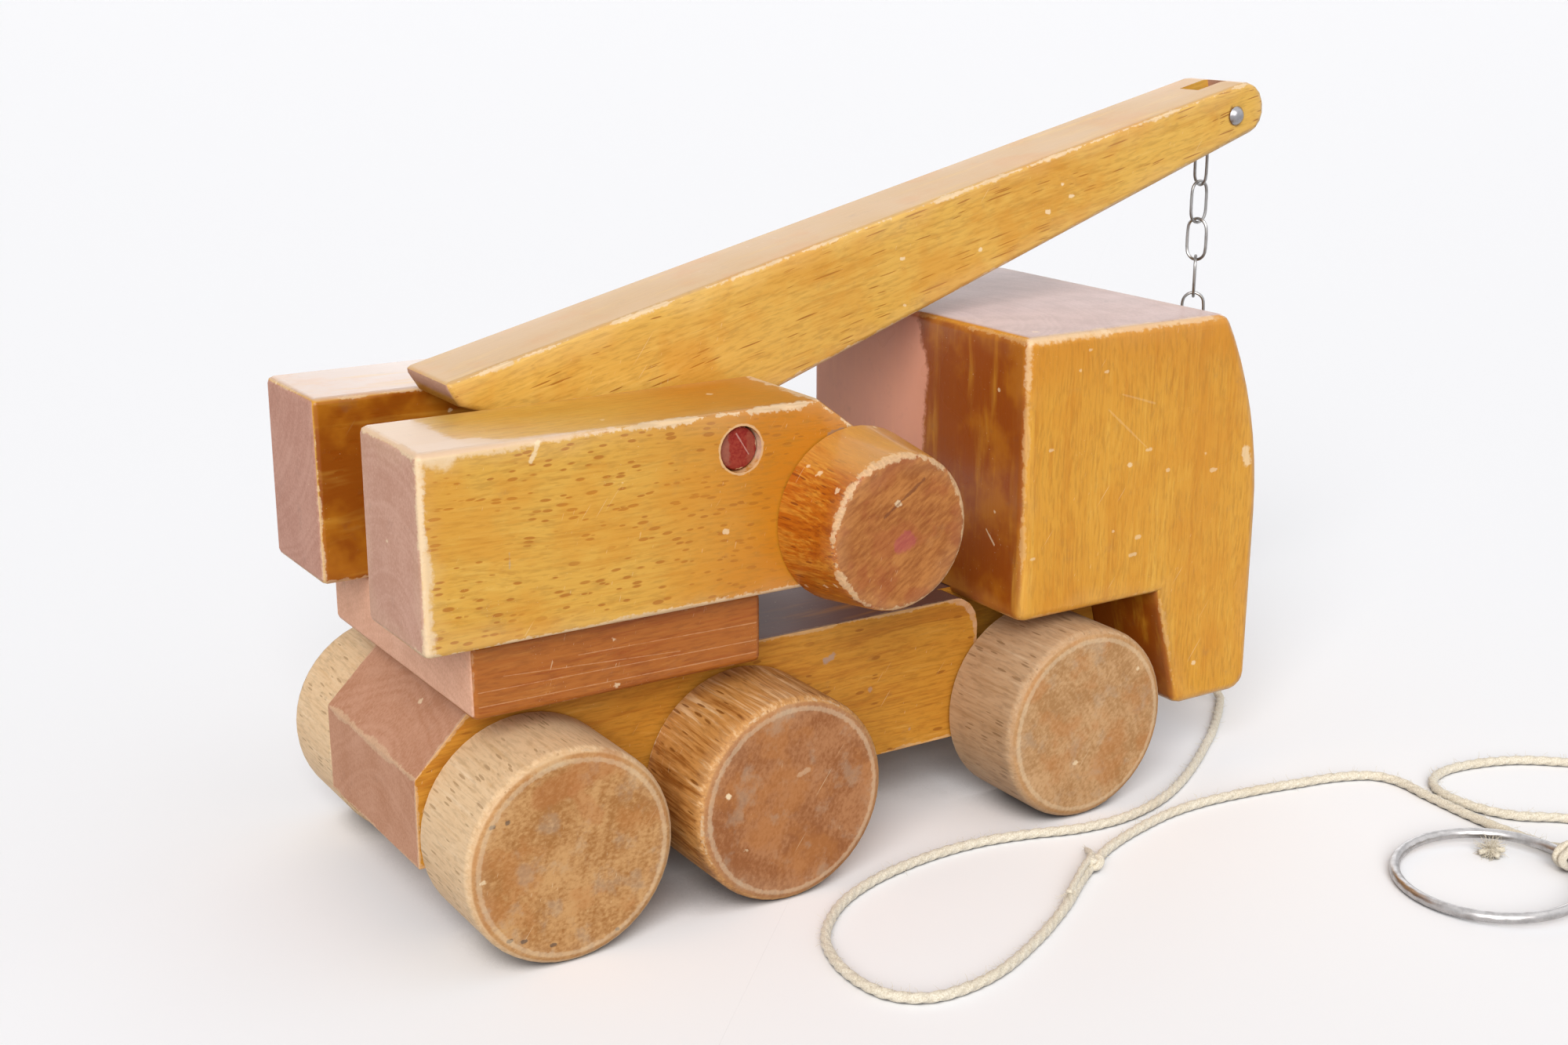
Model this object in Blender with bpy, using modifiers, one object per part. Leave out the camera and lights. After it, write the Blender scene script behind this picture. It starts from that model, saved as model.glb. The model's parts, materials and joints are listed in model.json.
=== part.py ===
"""Wooden toy crane truck: six wheels, a cab, a crane on a turntable and a pull cord.

Sizes are in millimetres and are turned into metres where a mesh or an object is made.
The truck's own frame has X forwards, Y to its left and Z up, with X = 0 over the rear axle,
Y = 0 at the middle of the chassis and Z = 0 on the floor.
"""
from math import acos, asin, atan2, ceil, cos, hypot, pi, radians, sin, tan

import bmesh
import bpy
from mathutils import Euler, Matrix, Vector

MM = 0.001

# Clearances
FIT = 0.3              # between glued or touching pieces
RUN = 0.4              # around a dowel that turns, and under the turntable
WHEEL_SIDE = 0.7       # between a wheel and the chassis
WHEEL_TOP = 5.0        # between the wheels and what passes over them
BOOM_SIDE = 1.75       # between the boom and each cheek
DOWEL_CHAMFER = 0.6

# Wheels and axles
WHEEL_D = 50.0
WHEEL_W = 26.0
WHEEL_ROUND = 2.5
WHEEL_INNER_EDGE = 0.9  # chamfer next to the chassis
WHEEL_FACETS = 48
AXLE_D = 10.0
AXLE_SEAT = 18.0       # depth of an axle in its wheel
REAR_WHEEL_SPACE = 6.4
FRONT_AXLE_AHEAD = 88.4

# Chassis beam
CHASSIS_W = 54.0
AXLE_WALL = 2.0        # of wood under the axles
CHASSIS_TAIL = 25.0    # from the rear axle to the rear end
CHASSIS_CHAMFER = 16.0
CHASSIS_UNDER_CAB = 2.4  # how far its full width reaches under the cab
CHASSIS_NOSE_ROUND = 8.0  # rounding where the full width ends
TONGUE_W = 36.0        # width of the rest, between the front wheels

# Cab block
CAB_W = 93.7
CAB_BOOM_SPACE = 4.4   # from the roof's back edge up to the boom
CAB_BEHIND_AXLE = 18.0
CAB_ROOF_L = 65.6
CAB_BULGE = 14.3       # how far the front stands out from the roof's front edge
CAB_BULGE_H = 54.0     # height of the curved front
CAB_WHEEL_SPACE = 3.2  # from the front wheels to the leg at its top
CAB_LEG_SLANT = 8.0    # how far the leg's back leans forwards at its foot
CAB_LEG_H = 34.6       # from the leg's foot up to the chassis top
CAB_LAP = 2.0          # depth of the groove under the cab that takes the chassis
CAB_TOE = 5.0          # rounding under the front
CAB_ROUND = 2.6
CAB_DOWEL_D = 10.0
CAB_DOWEL_DEPTH = 14.0  # in the chassis
CAB_DOWEL_RISE = 24.0   # in the cab
CAB_DOWEL_APART = 26.0

# Crane: turntable plate and cheeks
SLEW_X = 19.4
PLATE_L = 72.0
PLATE_W = 82.4
PLATE_T = 17.2
PEG_D = 12.0
PEG_DEPTH = 18.0       # in the chassis
PEG_RISE = 12.0        # in the plate
SLOT_W = 28.0          # between the cheeks
CHEEK_T = 31.7
CHEEK_H = 43.8
CHEEK_TAIL = 48.0      # from the slew axis to the rear
CHEEK_NOSE = 12.6      # from the knob's axis to the front
CHEEK_CLIP_L = 22.0
CHEEK_CLIP_H = 16.3
CHEEK_DOWEL_D = 8.0
CHEEK_DOWEL_INSET = 14.0  # from the plate's front and rear edges
CHEEK_DOWEL_RISE = 14.0
CHEEK_DOWEL_DEPTH = 10.0
BLOCK_ROUND = 1.6

# Boom
PIVOT_SETBACK = 8.0    # behind the plate's front edge
PIVOT_BELOW_TOP = 8.8  # under the top of the cheeks
PIVOT_D = 10.0
PIVOT_RECESS = 1.2
BOOM_TILT = 13.55      # degrees, at rest
BOOM_TAIL = 50.0
BOOM_RISE = 27.0       # from the pivot to the top face
BOOM_TAIL_T = 6.0
BOOM_TAIL_UNDERCUT = 2.0
BOOM_TIP_T = 13.4
BOOM_DROP = 6.6        # from the pivot to the line of the lower face
BOOM_WALL = 2.6        # of wood under the pivot
BOOM_TIP_ROUND = 6.5
BOOM_ROUND = 1.5
BOOM_LIFT = 18.0       # degrees that the boom can be raised

# Knob, its axle and the cam that lifts the boom
KNOB_AHEAD = 30.0      # from the boom's pivot
KNOB_BELOW = 19.1
KNOB_BASE_D = 41.6
KNOB_FACE_D = 36.8
KNOB_L = 19.0
KNOB_ROUND = 2.2
KNOB_SEAT = 12.0       # depth of the axle in the knob
KNOB_AXLE_D = 10.0
KNOB_TURN = 6.0        # turns of the knob, the other way, for one of the boom
CAM_T = 20.0
CAM_BACK_R = 12.0
CAM_LOBE_END = 60.0     # degrees from the lobe's end to the round back
CAM_LOBE_START = 36.0   # degrees from the round back to the lobe's start

# Pin at the boom's tip, chain and hook
PIN_D = 3.0
PIN_HEAD_D = 5.0
PIN_HEAD_T = 1.5
PIN_FROM_END = 10.7
CHAIN_AHEAD = 17.4     # from the cab's front to the hanging chain
PIN_FROM_TOP = 7.7
TIP_SLOT_W = 7.2
TIP_SLOT_BEHIND = 4.4   # from the pin, on the boom's top face
TIP_SLOT_RUN = 7.9     # how much further back the slot reaches on the lower face
TIP_SLOT_AHEAD = 6.0
CHAIN_WIRE = 1.0
LINK_INNER_L = 10.7
LINK_INNER_W = 5.0
LINK_TURNS = (0.0, -102.0, 4.0, -74.0, 46.0, -44.0)  # degrees about the hanging line
HOOK_WIRE = 2.2
HOOK_EYE_R = 3.1
HOOK_BOWL_R = 5.6
HOOK_SHANK = 17.4       # from the eye to the middle of the bowl
HOOK_LEAVE = 225.0      # degrees round the eye at which the shank leaves it
HOOK_BOWL_END = 380.0   # degrees round the bowl at which the tip starts

# Pull cord and its ring
CORD_D = 2.4
CORD_LIFT = 0.1        # over the floor
CORD_HOLE_DEPTH = 9.0
CORD_HOLE_Y = -4.0
CORD_HOLE_Z = 33.0
CORD_STEP = 8.6
RING_X = 200.8
RING_Y = -135.1
RING_D = 46.8
RING_WIRE = 2.8
RING_TURN = -14.0      # degrees, towards the tie
TIE_CORD_R = 1.1
TIE_KNOT_R = 2.4
TIE_LAP = 0.8          # share of a radius by which the tie's turns lie apart
TAIL_KNOT_R = 2.6

# Places that follow from the sizes above
WHEEL_R = WHEEL_D / 2
AXLE_Z = WHEEL_R * cos(pi / WHEEL_FACETS)
AXLE_X = {
    "rear": 0.0,
    "middle": WHEEL_D + REAR_WHEEL_SPACE,
    "front": WHEEL_D + REAR_WHEEL_SPACE + FRONT_AXLE_AHEAD,
}
WHEEL_IN = CHASSIS_W / 2 + WHEEL_SIDE
CHASSIS_TOP = AXLE_Z + WHEEL_R + WHEEL_TOP
CHASSIS_BOTTOM = AXLE_Z - AXLE_D / 2 - RUN - AXLE_WALL
CAB_BOTTOM = CHASSIS_TOP - CAB_LAP
CAB_BACK = AXLE_X["front"] - CAB_BEHIND_AXLE
NOSE_X = CAB_BACK + CHASSIS_UNDER_CAB
CAB_ROOF_FRONT = CAB_BACK + CAB_ROOF_L
CAB_FRONT = CAB_ROOF_FRONT + CAB_BULGE
LEG_X = AXLE_X["front"] + WHEEL_R + CAB_WHEEL_SPACE
LEG_FOOT = CHASSIS_TOP - CAB_LEG_H
PLATE_BOTTOM = CHASSIS_TOP + RUN
CHEEK_BOTTOM = PLATE_T + FIT
CHEEK_TOP = CHEEK_BOTTOM + CHEEK_H
CHEEK_OUT = SLOT_W / 2 + CHEEK_T
PIVOT_AHEAD = PLATE_L / 2 - PIVOT_SETBACK
PIVOT_Z = CHEEK_TOP - PIVOT_BELOW_TOP
KNOB_X = PIVOT_AHEAD + KNOB_AHEAD
KNOB_Z = PIVOT_Z - KNOB_BELOW
CHEEK_FRONT = KNOB_X + CHEEK_NOSE
BOOM_T = SLOT_W - 2 * BOOM_SIDE
TILT = radians(BOOM_TILT)
PIN_V = BOOM_RISE - PIN_FROM_TOP
PIN_U = (CAB_FRONT + CHAIN_AHEAD - SLEW_X - PIVOT_AHEAD + PIN_V * sin(TILT)) / cos(TILT)
BOOM_REACH = PIN_U + PIN_FROM_END
BOOM_TIP_LOW = BOOM_RISE - BOOM_TIP_T
BOOM_SLOPE = atan2(BOOM_TIP_LOW + BOOM_DROP, BOOM_REACH)  # of the lower face against the top
BOOM_GAP = BOOM_DROP * cos(BOOM_SLOPE)  # from the pivot square to the lower face
BOOM_LEAN = TILT + BOOM_SLOPE           # of the lower face against the floor
CAB_TOP = (PLATE_BOTTOM + PIVOT_Z + (CAB_BACK - SLEW_X - PIVOT_AHEAD) * tan(BOOM_LEAN)
           - BOOM_GAP / cos(BOOM_LEAN) - CAB_BOOM_SPACE)
BELLY_R = PIVOT_D / 2 + RUN + BOOM_WALL
LINK_STEP = LINK_INNER_L - FIT
CORD_Z = CORD_D / 2 + CORD_LIFT

# Colours and finish of each material: base colour, roughness, metallic
FINISHES = {
    "lacquered_beech": ((0.62, 0.31, 0.09), 0.35, 0.0),
    "worn_beech": ((0.55, 0.36, 0.19), 0.55, 0.0),
    "plate_beech": ((0.48, 0.21, 0.08), 0.4, 0.0),
    "red_dowel": ((0.42, 0.09, 0.05), 0.5, 0.0),
    "plain_dowel": ((0.68, 0.47, 0.27), 0.6, 0.0),
    "steel": ((0.45, 0.45, 0.47), 0.35, 1.0),
    "cotton": ((0.82, 0.79, 0.72), 0.9, 0.0),
}


def new_collection(name):
    collection = bpy.data.collections.new(name)
    bpy.context.scene.collection.children.link(collection)
    return collection


for leftover in list(bpy.data.objects):
    bpy.data.objects.remove(leftover, do_unlink=True)
PARTS = new_collection("toy_crane_truck")
CUTTERS = new_collection("cutters")


def finish_material(name, finish):
    """A material of the part's own, with the colour, roughness and metal of its finish."""
    colour, roughness, metallic = FINISHES[finish]
    material = bpy.data.materials.new(name)
    material.use_nodes = True
    shader = material.node_tree.nodes["Principled BSDF"]
    shader.inputs["Base Color"].default_value = (*colour, 1.0)
    shader.inputs["Roughness"].default_value = roughness
    shader.inputs["Metallic"].default_value = metallic
    return material


def empty(name, place, parent=None, tilt=0.0):
    """An axis or frame at a place in its parent, tilted about Y (degrees, nose up)."""
    holder = bpy.data.objects.new(name, None)
    PARTS.objects.link(holder)
    holder.parent = parent
    holder.location = Vector(place) * MM
    holder.rotation_euler = (0.0, -radians(tilt), 0.0)
    return holder


def part(name, data, finish, parent, place=(0, 0, 0), turn=(0, 0, 0)):
    """A named piece with its own material, at a place (mm) and turn (degrees) in its parent."""
    piece = bpy.data.objects.new(name, data)
    PARTS.objects.link(piece)
    piece.parent = parent
    piece.location = Vector(place) * MM
    piece.rotation_euler = Euler([radians(angle) for angle in turn])
    data.materials.append(finish_material(name, finish))
    return piece


def smooth(piece, angle=35.0):
    piece.data.shade_smooth()
    piece.data.set_sharp_from_angle(angle=radians(angle))


def curve_to_mesh(curve):
    """The solid of a curve, with its caps welded on."""
    holder = bpy.data.objects.new(curve.name, curve)
    PARTS.objects.link(holder)
    bpy.context.view_layer.update()
    evaluated = holder.evaluated_get(bpy.context.evaluated_depsgraph_get())
    mesh = bpy.data.meshes.new_from_object(evaluated)
    bpy.data.objects.remove(holder, do_unlink=True)
    solid = bmesh.new()
    solid.from_mesh(mesh)
    bmesh.ops.remove_doubles(solid, verts=solid.verts, dist=1e-6)
    bmesh.ops.dissolve_limit(solid, angle_limit=radians(0.5), verts=solid.verts, edges=solid.edges)
    bmesh.ops.recalc_face_normals(solid, faces=solid.faces)
    solid.to_mesh(mesh)
    solid.free()
    return mesh


def slab(name, outline, thickness):
    """A flat outline in X and Z (mm), as thick along Y as given, centred on Y = 0."""
    curve = bpy.data.curves.new(name, "CURVE")
    curve.dimensions = "2D"
    curve.fill_mode = "BOTH"
    curve.extrude = thickness / 2 * MM
    spline = curve.splines.new("POLY")
    spline.points.add(len(outline) - 1)
    for point, (x, z) in zip(spline.points, outline):
        point.co = (x * MM, z * MM, 0.0, 1.0)
    spline.use_cyclic_u = True
    mesh = curve_to_mesh(curve)
    mesh.transform(Matrix.Rotation(pi / 2, 4, "X"))
    return mesh


def block(name, size):
    """A box of the given size (mm), centred on its origin."""
    mesh = bpy.data.meshes.new(name)
    solid = bmesh.new()
    bmesh.ops.create_cube(solid, size=1.0, matrix=Matrix.Diagonal((*[edge * MM for edge in size], 1.0)))
    solid.to_mesh(mesh)
    solid.free()
    return mesh


def round_edges(piece, radius, segments=2, sharper_than=40.0):
    """Rounds the edges that stand out, and leaves inner corners square."""
    solid = bmesh.new()
    solid.from_mesh(piece.data)
    weight = solid.edges.layers.float.new("bevel_weight_edge")
    for edge in solid.edges:
        edge[weight] = float(edge.is_convex and edge.calc_face_angle() > radians(sharper_than))
    solid.to_mesh(piece.data)
    solid.free()
    bevel = piece.modifiers.new("rounded edges", "BEVEL")
    bevel.width = radius * MM
    bevel.segments = segments
    bevel.limit_method = "WEIGHT"


def turned(name, profile, steps):
    """A turned piece: the profile (radius, height) in mm runs down its outer side, about Z."""
    mesh = bpy.data.meshes.new(name)
    lathe = bmesh.new()
    half_step = pi / steps
    last = None
    for radius, height in profile:
        place = Vector((radius * cos(half_step), radius * sin(half_step), height)) * MM
        vertex = lathe.verts.new(place)
        if last:
            lathe.edges.new((last, vertex))
        last = vertex
    lathe.to_mesh(mesh)
    lathe.free()
    return mesh


def spin(piece, steps):
    screw = piece.modifiers.new("turned", "SCREW")
    screw.axis = "Z"
    screw.steps = steps
    screw.render_steps = steps
    screw.use_merge_vertices = True
    screw.merge_threshold = 0.00001
    screw.use_smooth_shade = True


def turned_part(name, profile, finish, parent, place=(0, 0, 0), turn=(0, 0, 0), steps=24):
    piece = part(name, turned(name, profile, steps), finish, parent, place, turn)
    spin(piece, steps)
    return piece


def arc(centre, radius, start, end, steps):
    """Points on an arc, from one angle to another (radians), both ends included."""
    points = []
    for step in range(steps + 1):
        angle = start + (end - start) * step / steps
        points.append((centre[0] + radius * cos(angle), centre[1] + radius * sin(angle)))
    return points


def dowel_profile(diameter, length):
    radius = diameter / 2
    top = length / 2
    upper = [(0, top), (radius - DOWEL_CHAMFER, top), (radius, top - DOWEL_CHAMFER)]
    return upper + [(across, -height) for across, height in reversed(upper)]


def combine(piece, mesh, parent, place, turn, operation):
    """Cuts a shape out of a piece, or adds one to it."""
    other = bpy.data.objects.new(piece.name + "_cutter", mesh)
    CUTTERS.objects.link(other)
    other.parent = parent
    other.location = Vector(place) * MM
    other.rotation_euler = Euler([radians(angle) for angle in turn])
    other.hide_render = True
    other.display_type = "WIRE"
    boolean = piece.modifiers.new(operation.lower(), "BOOLEAN")
    boolean.operation = operation
    boolean.object = other


def cut(piece, mesh, parent, place, turn=(0, 0, 0)):
    combine(piece, mesh, parent, place, turn, "DIFFERENCE")


def add_body(piece, mesh, parent, place, turn=(0, 0, 0)):
    combine(piece, mesh, parent, place, turn, "UNION")


def bore(piece, diameter, length, parent, place, turn=(0, 0, 0), segments=24):
    """Drills a round hole, centred on a place and running along the turned Z."""
    mesh = bpy.data.meshes.new(piece.name + "_bore")
    drill = bmesh.new()
    bmesh.ops.create_cone(drill, cap_ends=True, segments=segments, radius1=diameter / 2 * MM,
                          radius2=diameter / 2 * MM, depth=length * MM)
    drill.to_mesh(mesh)
    drill.free()
    cut(piece, mesh, parent, place, turn)


def tube_curve(name, points, diameter, cyclic=False, resolution=2):
    """A wire or cord through points (mm)."""
    curve = bpy.data.curves.new(name, "CURVE")
    curve.dimensions = "3D"
    curve.bevel_depth = diameter / 2 * MM
    curve.bevel_resolution = resolution
    curve.use_fill_caps = True
    spline = curve.splines.new("POLY")
    spline.points.add(len(points) - 1)
    for point, place in zip(spline.points, points):
        point.co = (*(Vector(place) * MM), 1.0)
    spline.use_cyclic_u = cyclic
    return curve


def smooth_route(route, step):
    """Points about a step apart on a smooth curve through the route's points, none under the floor."""
    route = [Vector(place) for place in route]
    ends = [2 * route[0] - route[1]] + route + [2 * route[-1] - route[-2]]
    fine = []
    for index in range(1, len(ends) - 2):
        before, start, end, after = ends[index - 1:index + 3]
        for part_way in range(20):
            t = part_way / 20
            fine.append(0.5 * (2 * start + (end - before) * t
                               + (2 * before - 5 * start + 4 * end - after) * t * t
                               + (3 * start - before - 3 * end + after) * t * t * t))
    fine.append(route[-1])
    along = [0.0]
    for start, end in zip(fine, fine[1:]):
        along.append(along[-1] + (end - start).length)
    count = ceil(along[-1] / step)
    points = []
    place = 0
    for index in range(count + 1):
        target = along[-1] * index / count
        while place < len(along) - 2 and along[place + 1] < target:
            place += 1
        share = (target - along[place]) / (along[place + 1] - along[place])
        point = fine[place].lerp(fine[place + 1], share)
        point.z = max(point.z, CORD_Z)
        points.append(point)
    return points


def leg_back(height):
    """X of the back of the cab's leg at a height."""
    return LEG_X + CAB_LEG_SLANT * (CAB_BOTTOM - height) / (CAB_BOTTOM - LEG_FOOT)


def build_chassis(truck):
    front_low = leg_back(CHASSIS_BOTTOM) - FIT
    front_high = leg_back(CHASSIS_TOP) - FIT
    outline = [
        (-CHASSIS_TAIL, CHASSIS_BOTTOM),
        (front_low, CHASSIS_BOTTOM),
        (front_high, CHASSIS_TOP),
        (CHASSIS_CHAMFER - CHASSIS_TAIL, CHASSIS_TOP),
        (-CHASSIS_TAIL, CHASSIS_TOP - CHASSIS_CHAMFER),
    ]
    chassis = part("chassis_beam", slab("chassis_beam", outline, CHASSIS_W), "lacquered_beech", truck)
    nose_centre = (NOSE_X - CHASSIS_NOSE_ROUND, CHASSIS_TOP - CHASSIS_NOSE_ROUND + FIT)
    over = CHASSIS_TOP + CHASSIS_NOSE_ROUND
    under = CHASSIS_BOTTOM - CHASSIS_NOSE_ROUND
    ahead = LEG_X + CHASSIS_NOSE_ROUND
    beside_tongue = [(ahead, over), (ahead, under), (NOSE_X, under)]
    beside_tongue += arc(nose_centre, CHASSIS_NOSE_ROUND, 0.0, pi / 2, 4)
    beside_tongue += [(nose_centre[0], over)]
    for side in (-1, 1):
        cut(chassis, slab("beside_tongue", beside_tongue, CHASSIS_W - TONGUE_W), truck,
            (0, side * CHASSIS_W / 2, 0))
    round_edges(chassis, BLOCK_ROUND)
    for x in AXLE_X.values():
        bore(chassis, AXLE_D + 2 * RUN, 2 * CHASSIS_W, truck, (x, 0, AXLE_Z), (90, 0, 0))
    peg_hole = PEG_DEPTH + RUN
    bore(chassis, PEG_D + 2 * RUN, 2 * peg_hole, truck, (SLEW_X, 0, CHASSIS_TOP))
    for x in cab_dowel_places():
        bore(chassis, CAB_DOWEL_D + 2 * FIT, 2 * (CAB_DOWEL_DEPTH + FIT), truck, (x, 0, CHASSIS_TOP))


def cab_dowel_places():
    middle = (CAB_BACK + LEG_X) / 2
    return (middle - CAB_DOWEL_APART / 2, middle + CAB_DOWEL_APART / 2)


def build_cab(truck):
    bulge_r = (CAB_BULGE_H ** 2 + CAB_BULGE ** 2) / (2 * CAB_BULGE)
    bulge_centre = (CAB_FRONT - bulge_r, CAB_TOP - CAB_BULGE_H)
    toe_centre = (CAB_FRONT - CAB_TOE, LEG_FOOT + CAB_TOE)
    outline = [(CAB_BACK, CAB_BOTTOM), (CAB_BACK, CAB_TOP)]
    outline += arc(bulge_centre, bulge_r, asin(CAB_BULGE_H / bulge_r), 0.0, 8)
    outline += arc(toe_centre, CAB_TOE, 0.0, -pi / 2, 4)
    outline += [(leg_back(LEG_FOOT), LEG_FOOT), (LEG_X, CAB_BOTTOM)]
    cab = part("cab_block", slab("cab_block", outline, CAB_W), "lacquered_beech", truck)
    round_edges(cab, CAB_ROUND, segments=3)
    groove_top = CHASSIS_TOP + FIT
    groove_foot = CAB_BOTTOM - CAB_ROUND
    groove_back = CAB_BACK - CAB_ROUND
    groove = [
        (groove_back, groove_foot),
        (leg_back(groove_foot), groove_foot),
        (leg_back(groove_top), groove_top),
        (groove_back, groove_top),
    ]
    cut(cab, slab("cab_groove", groove, TONGUE_W + 2 * FIT), truck, (0, 0, 0))
    for x in cab_dowel_places():
        bore(cab, CAB_DOWEL_D + 2 * FIT, 2 * (CAB_DOWEL_RISE + FIT), truck, (x, 0, CHASSIS_TOP))
    bore(cab, CORD_D + 2 * FIT, 2 * (CORD_HOLE_DEPTH + FIT), truck,
         (CAB_FRONT, CORD_HOLE_Y, CORD_HOLE_Z), (0, 90, 0), segments=12)
    for name, x in zip(("rear", "front"), cab_dowel_places()):
        length = CAB_DOWEL_RISE + CAB_DOWEL_DEPTH
        middle = CHASSIS_TOP + (CAB_DOWEL_RISE - CAB_DOWEL_DEPTH) / 2
        turned_part(f"cab_{name}_dowel", dowel_profile(CAB_DOWEL_D, length), "plain_dowel", truck,
                    (x, 0, middle), steps=16)


def build_wheels(truck):
    seat = AXLE_SEAT + FIT
    hole_r = AXLE_D / 2 + FIT
    edge = arc((WHEEL_R - WHEEL_ROUND, WHEEL_W - WHEEL_ROUND), WHEEL_ROUND, pi / 2, 0.0, 3)
    profile = [(0, WHEEL_W)] + edge
    profile += [(WHEEL_R, WHEEL_INNER_EDGE), (WHEEL_R - WHEEL_INNER_EDGE, 0)]
    profile += [(hole_r, 0), (hole_r, seat), (0, seat)]
    for name, x in AXLE_X.items():
        axis = empty(name + "_axle_axis", (x, 0, AXLE_Z), truck)
        axle_length = 2 * (WHEEL_IN + AXLE_SEAT)
        turned_part(name + "_axle", dowel_profile(AXLE_D, axle_length), "plain_dowel", axis,
                    turn=(90, 0, 0))
        for side, y, turn in (("right", -WHEEL_IN, 90), ("left", WHEEL_IN, -90)):
            turned_part(f"{name}_{side}_wheel", profile, "worn_beech", axis, (0, y, 0), (turn, 0, 0),
                        WHEEL_FACETS)


def build_crane_base(crane):
    plate = part("turntable_plate", block("turntable_plate", (PLATE_L, PLATE_W, PLATE_T)), "plate_beech",
                 crane, (0, 0, PLATE_T / 2))
    round_edges(plate, BLOCK_ROUND)
    bore(plate, PEG_D + 2 * FIT, 2 * (PEG_RISE + FIT), crane, (0, 0, 0))
    peg_top = PEG_RISE
    peg_foot = -RUN - PEG_DEPTH
    turned_part("turntable_peg", dowel_profile(PEG_D, peg_top - peg_foot), "plain_dowel", crane,
                (0, 0, (peg_top + peg_foot) / 2))
    outline = [
        (-CHEEK_TAIL, CHEEK_BOTTOM),
        (CHEEK_FRONT, CHEEK_BOTTOM),
        (CHEEK_FRONT, CHEEK_TOP - CHEEK_CLIP_H),
        (CHEEK_FRONT - CHEEK_CLIP_L, CHEEK_TOP),
        (-CHEEK_TAIL, CHEEK_TOP),
    ]
    for side, sign in (("right", -1), ("left", 1)):
        name = side + "_cheek"
        middle = sign * (SLOT_W + CHEEK_T) / 2
        cheek = part(name, slab(name, outline, CHEEK_T), "lacquered_beech", crane, (0, middle, 0))
        round_edges(cheek, BLOCK_ROUND)
        bore(cheek, PIVOT_D + 2 * FIT, 2 * CHEEK_T, crane, (PIVOT_AHEAD, middle, PIVOT_Z), (90, 0, 0))
        bore(cheek, KNOB_AXLE_D + 2 * RUN, 2 * CHEEK_T, crane, (KNOB_X, middle, KNOB_Z), (90, 0, 0))
        dowel_y = sign * (SLOT_W + PLATE_W) / 4
        dowel_x = PLATE_L / 2 - CHEEK_DOWEL_INSET
        length = CHEEK_DOWEL_RISE + CHEEK_DOWEL_DEPTH
        for end, x in (("rear", -dowel_x), ("front", dowel_x)):
            place = (x, dowel_y, CHEEK_BOTTOM + (CHEEK_DOWEL_RISE - CHEEK_DOWEL_DEPTH) / 2)
            for piece in (plate, cheek):
                bore(piece, CHEEK_DOWEL_D + 2 * FIT, length + 2 * FIT, crane, place, segments=16)
            turned_part(f"{name}_{end}_dowel", dowel_profile(CHEEK_DOWEL_D, length), "plain_dowel", crane,
                        place, steps=16)
    turned_part("boom_pivot_dowel", dowel_profile(PIVOT_D, 2 * (CHEEK_OUT - PIVOT_RECESS)), "red_dowel",
                crane, (PIVOT_AHEAD, 0, PIVOT_Z), (90, 0, 0))


def boom_outline():
    """The boom's side, from its pivot: U along the top face and V square to it."""
    tail = (-BOOM_TAIL + BOOM_TAIL_UNDERCUT, BOOM_RISE - BOOM_TAIL_T)
    belly_start = atan2(tail[1], tail[0]) + acos(BELLY_R / hypot(*tail))
    belly_end = BOOM_SLOPE + 3 * pi / 2 + acos(BOOM_GAP / BELLY_R)
    top_round = (BOOM_REACH - BOOM_TIP_ROUND, BOOM_RISE - BOOM_TIP_ROUND)
    low_corner = BOOM_TIP_ROUND / cos(BOOM_SLOPE) - BOOM_TIP_ROUND * sin(BOOM_SLOPE) / cos(BOOM_SLOPE)
    low_round = (BOOM_REACH - BOOM_TIP_ROUND, BOOM_TIP_LOW + low_corner)
    outline = [(-BOOM_TAIL, BOOM_RISE), tail]
    outline += arc((0, 0), BELLY_R, belly_start, belly_end, 8)
    outline += arc(low_round, BOOM_TIP_ROUND, BOOM_SLOPE - pi / 2, 0.0, 4)
    outline += arc(top_round, BOOM_TIP_ROUND, 0.0, pi / 2, 4)
    return outline


def build_boom(boom_frame):
    boom = part("boom", slab("boom", boom_outline(), BOOM_T), "lacquered_beech", boom_frame)
    round_edges(boom, BOOM_ROUND)
    bore(boom, PIVOT_D + 2 * RUN, 2 * BOOM_T, boom_frame, (0, 0, 0), (90, 0, 0))
    bore(boom, PIN_D + 2 * FIT, 2 * BOOM_T, boom_frame, (PIN_U, 0, PIN_V), (90, 0, 0), segments=12)
    slot_back = PIN_U - TIP_SLOT_BEHIND
    slot_run = TIP_SLOT_RUN / BOOM_TIP_T
    slot = [
        (slot_back + slot_run * BOOM_TIP_T, BOOM_RISE + BOOM_TIP_T),
        (slot_back - slot_run * 2 * BOOM_TIP_T, BOOM_RISE - 2 * BOOM_TIP_T),
        (PIN_U + TIP_SLOT_AHEAD, BOOM_RISE - 2 * BOOM_TIP_T),
        (PIN_U + TIP_SLOT_AHEAD, BOOM_RISE + BOOM_TIP_T),
    ]
    cut(boom, slab("boom_slot", slot, TIP_SLOT_W), boom_frame, (0, 0, 0))
    seat = BOOM_T / 2 + FIT
    dome_r = ((PIN_HEAD_D / 2) ** 2 + PIN_HEAD_T ** 2) / (2 * PIN_HEAD_T)
    dome = arc((0, seat + PIN_HEAD_T - dome_r), dome_r, pi / 2, asin(1 - PIN_HEAD_T / dome_r), 4)
    upper = dome + [(PIN_D / 2, seat)]
    profile = upper + [(across, -height) for across, height in reversed(upper)]
    turned_part("tip_pin", profile, "steel", boom_frame, (PIN_U, 0, PIN_V), (90, 0, 0), 16)


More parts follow.
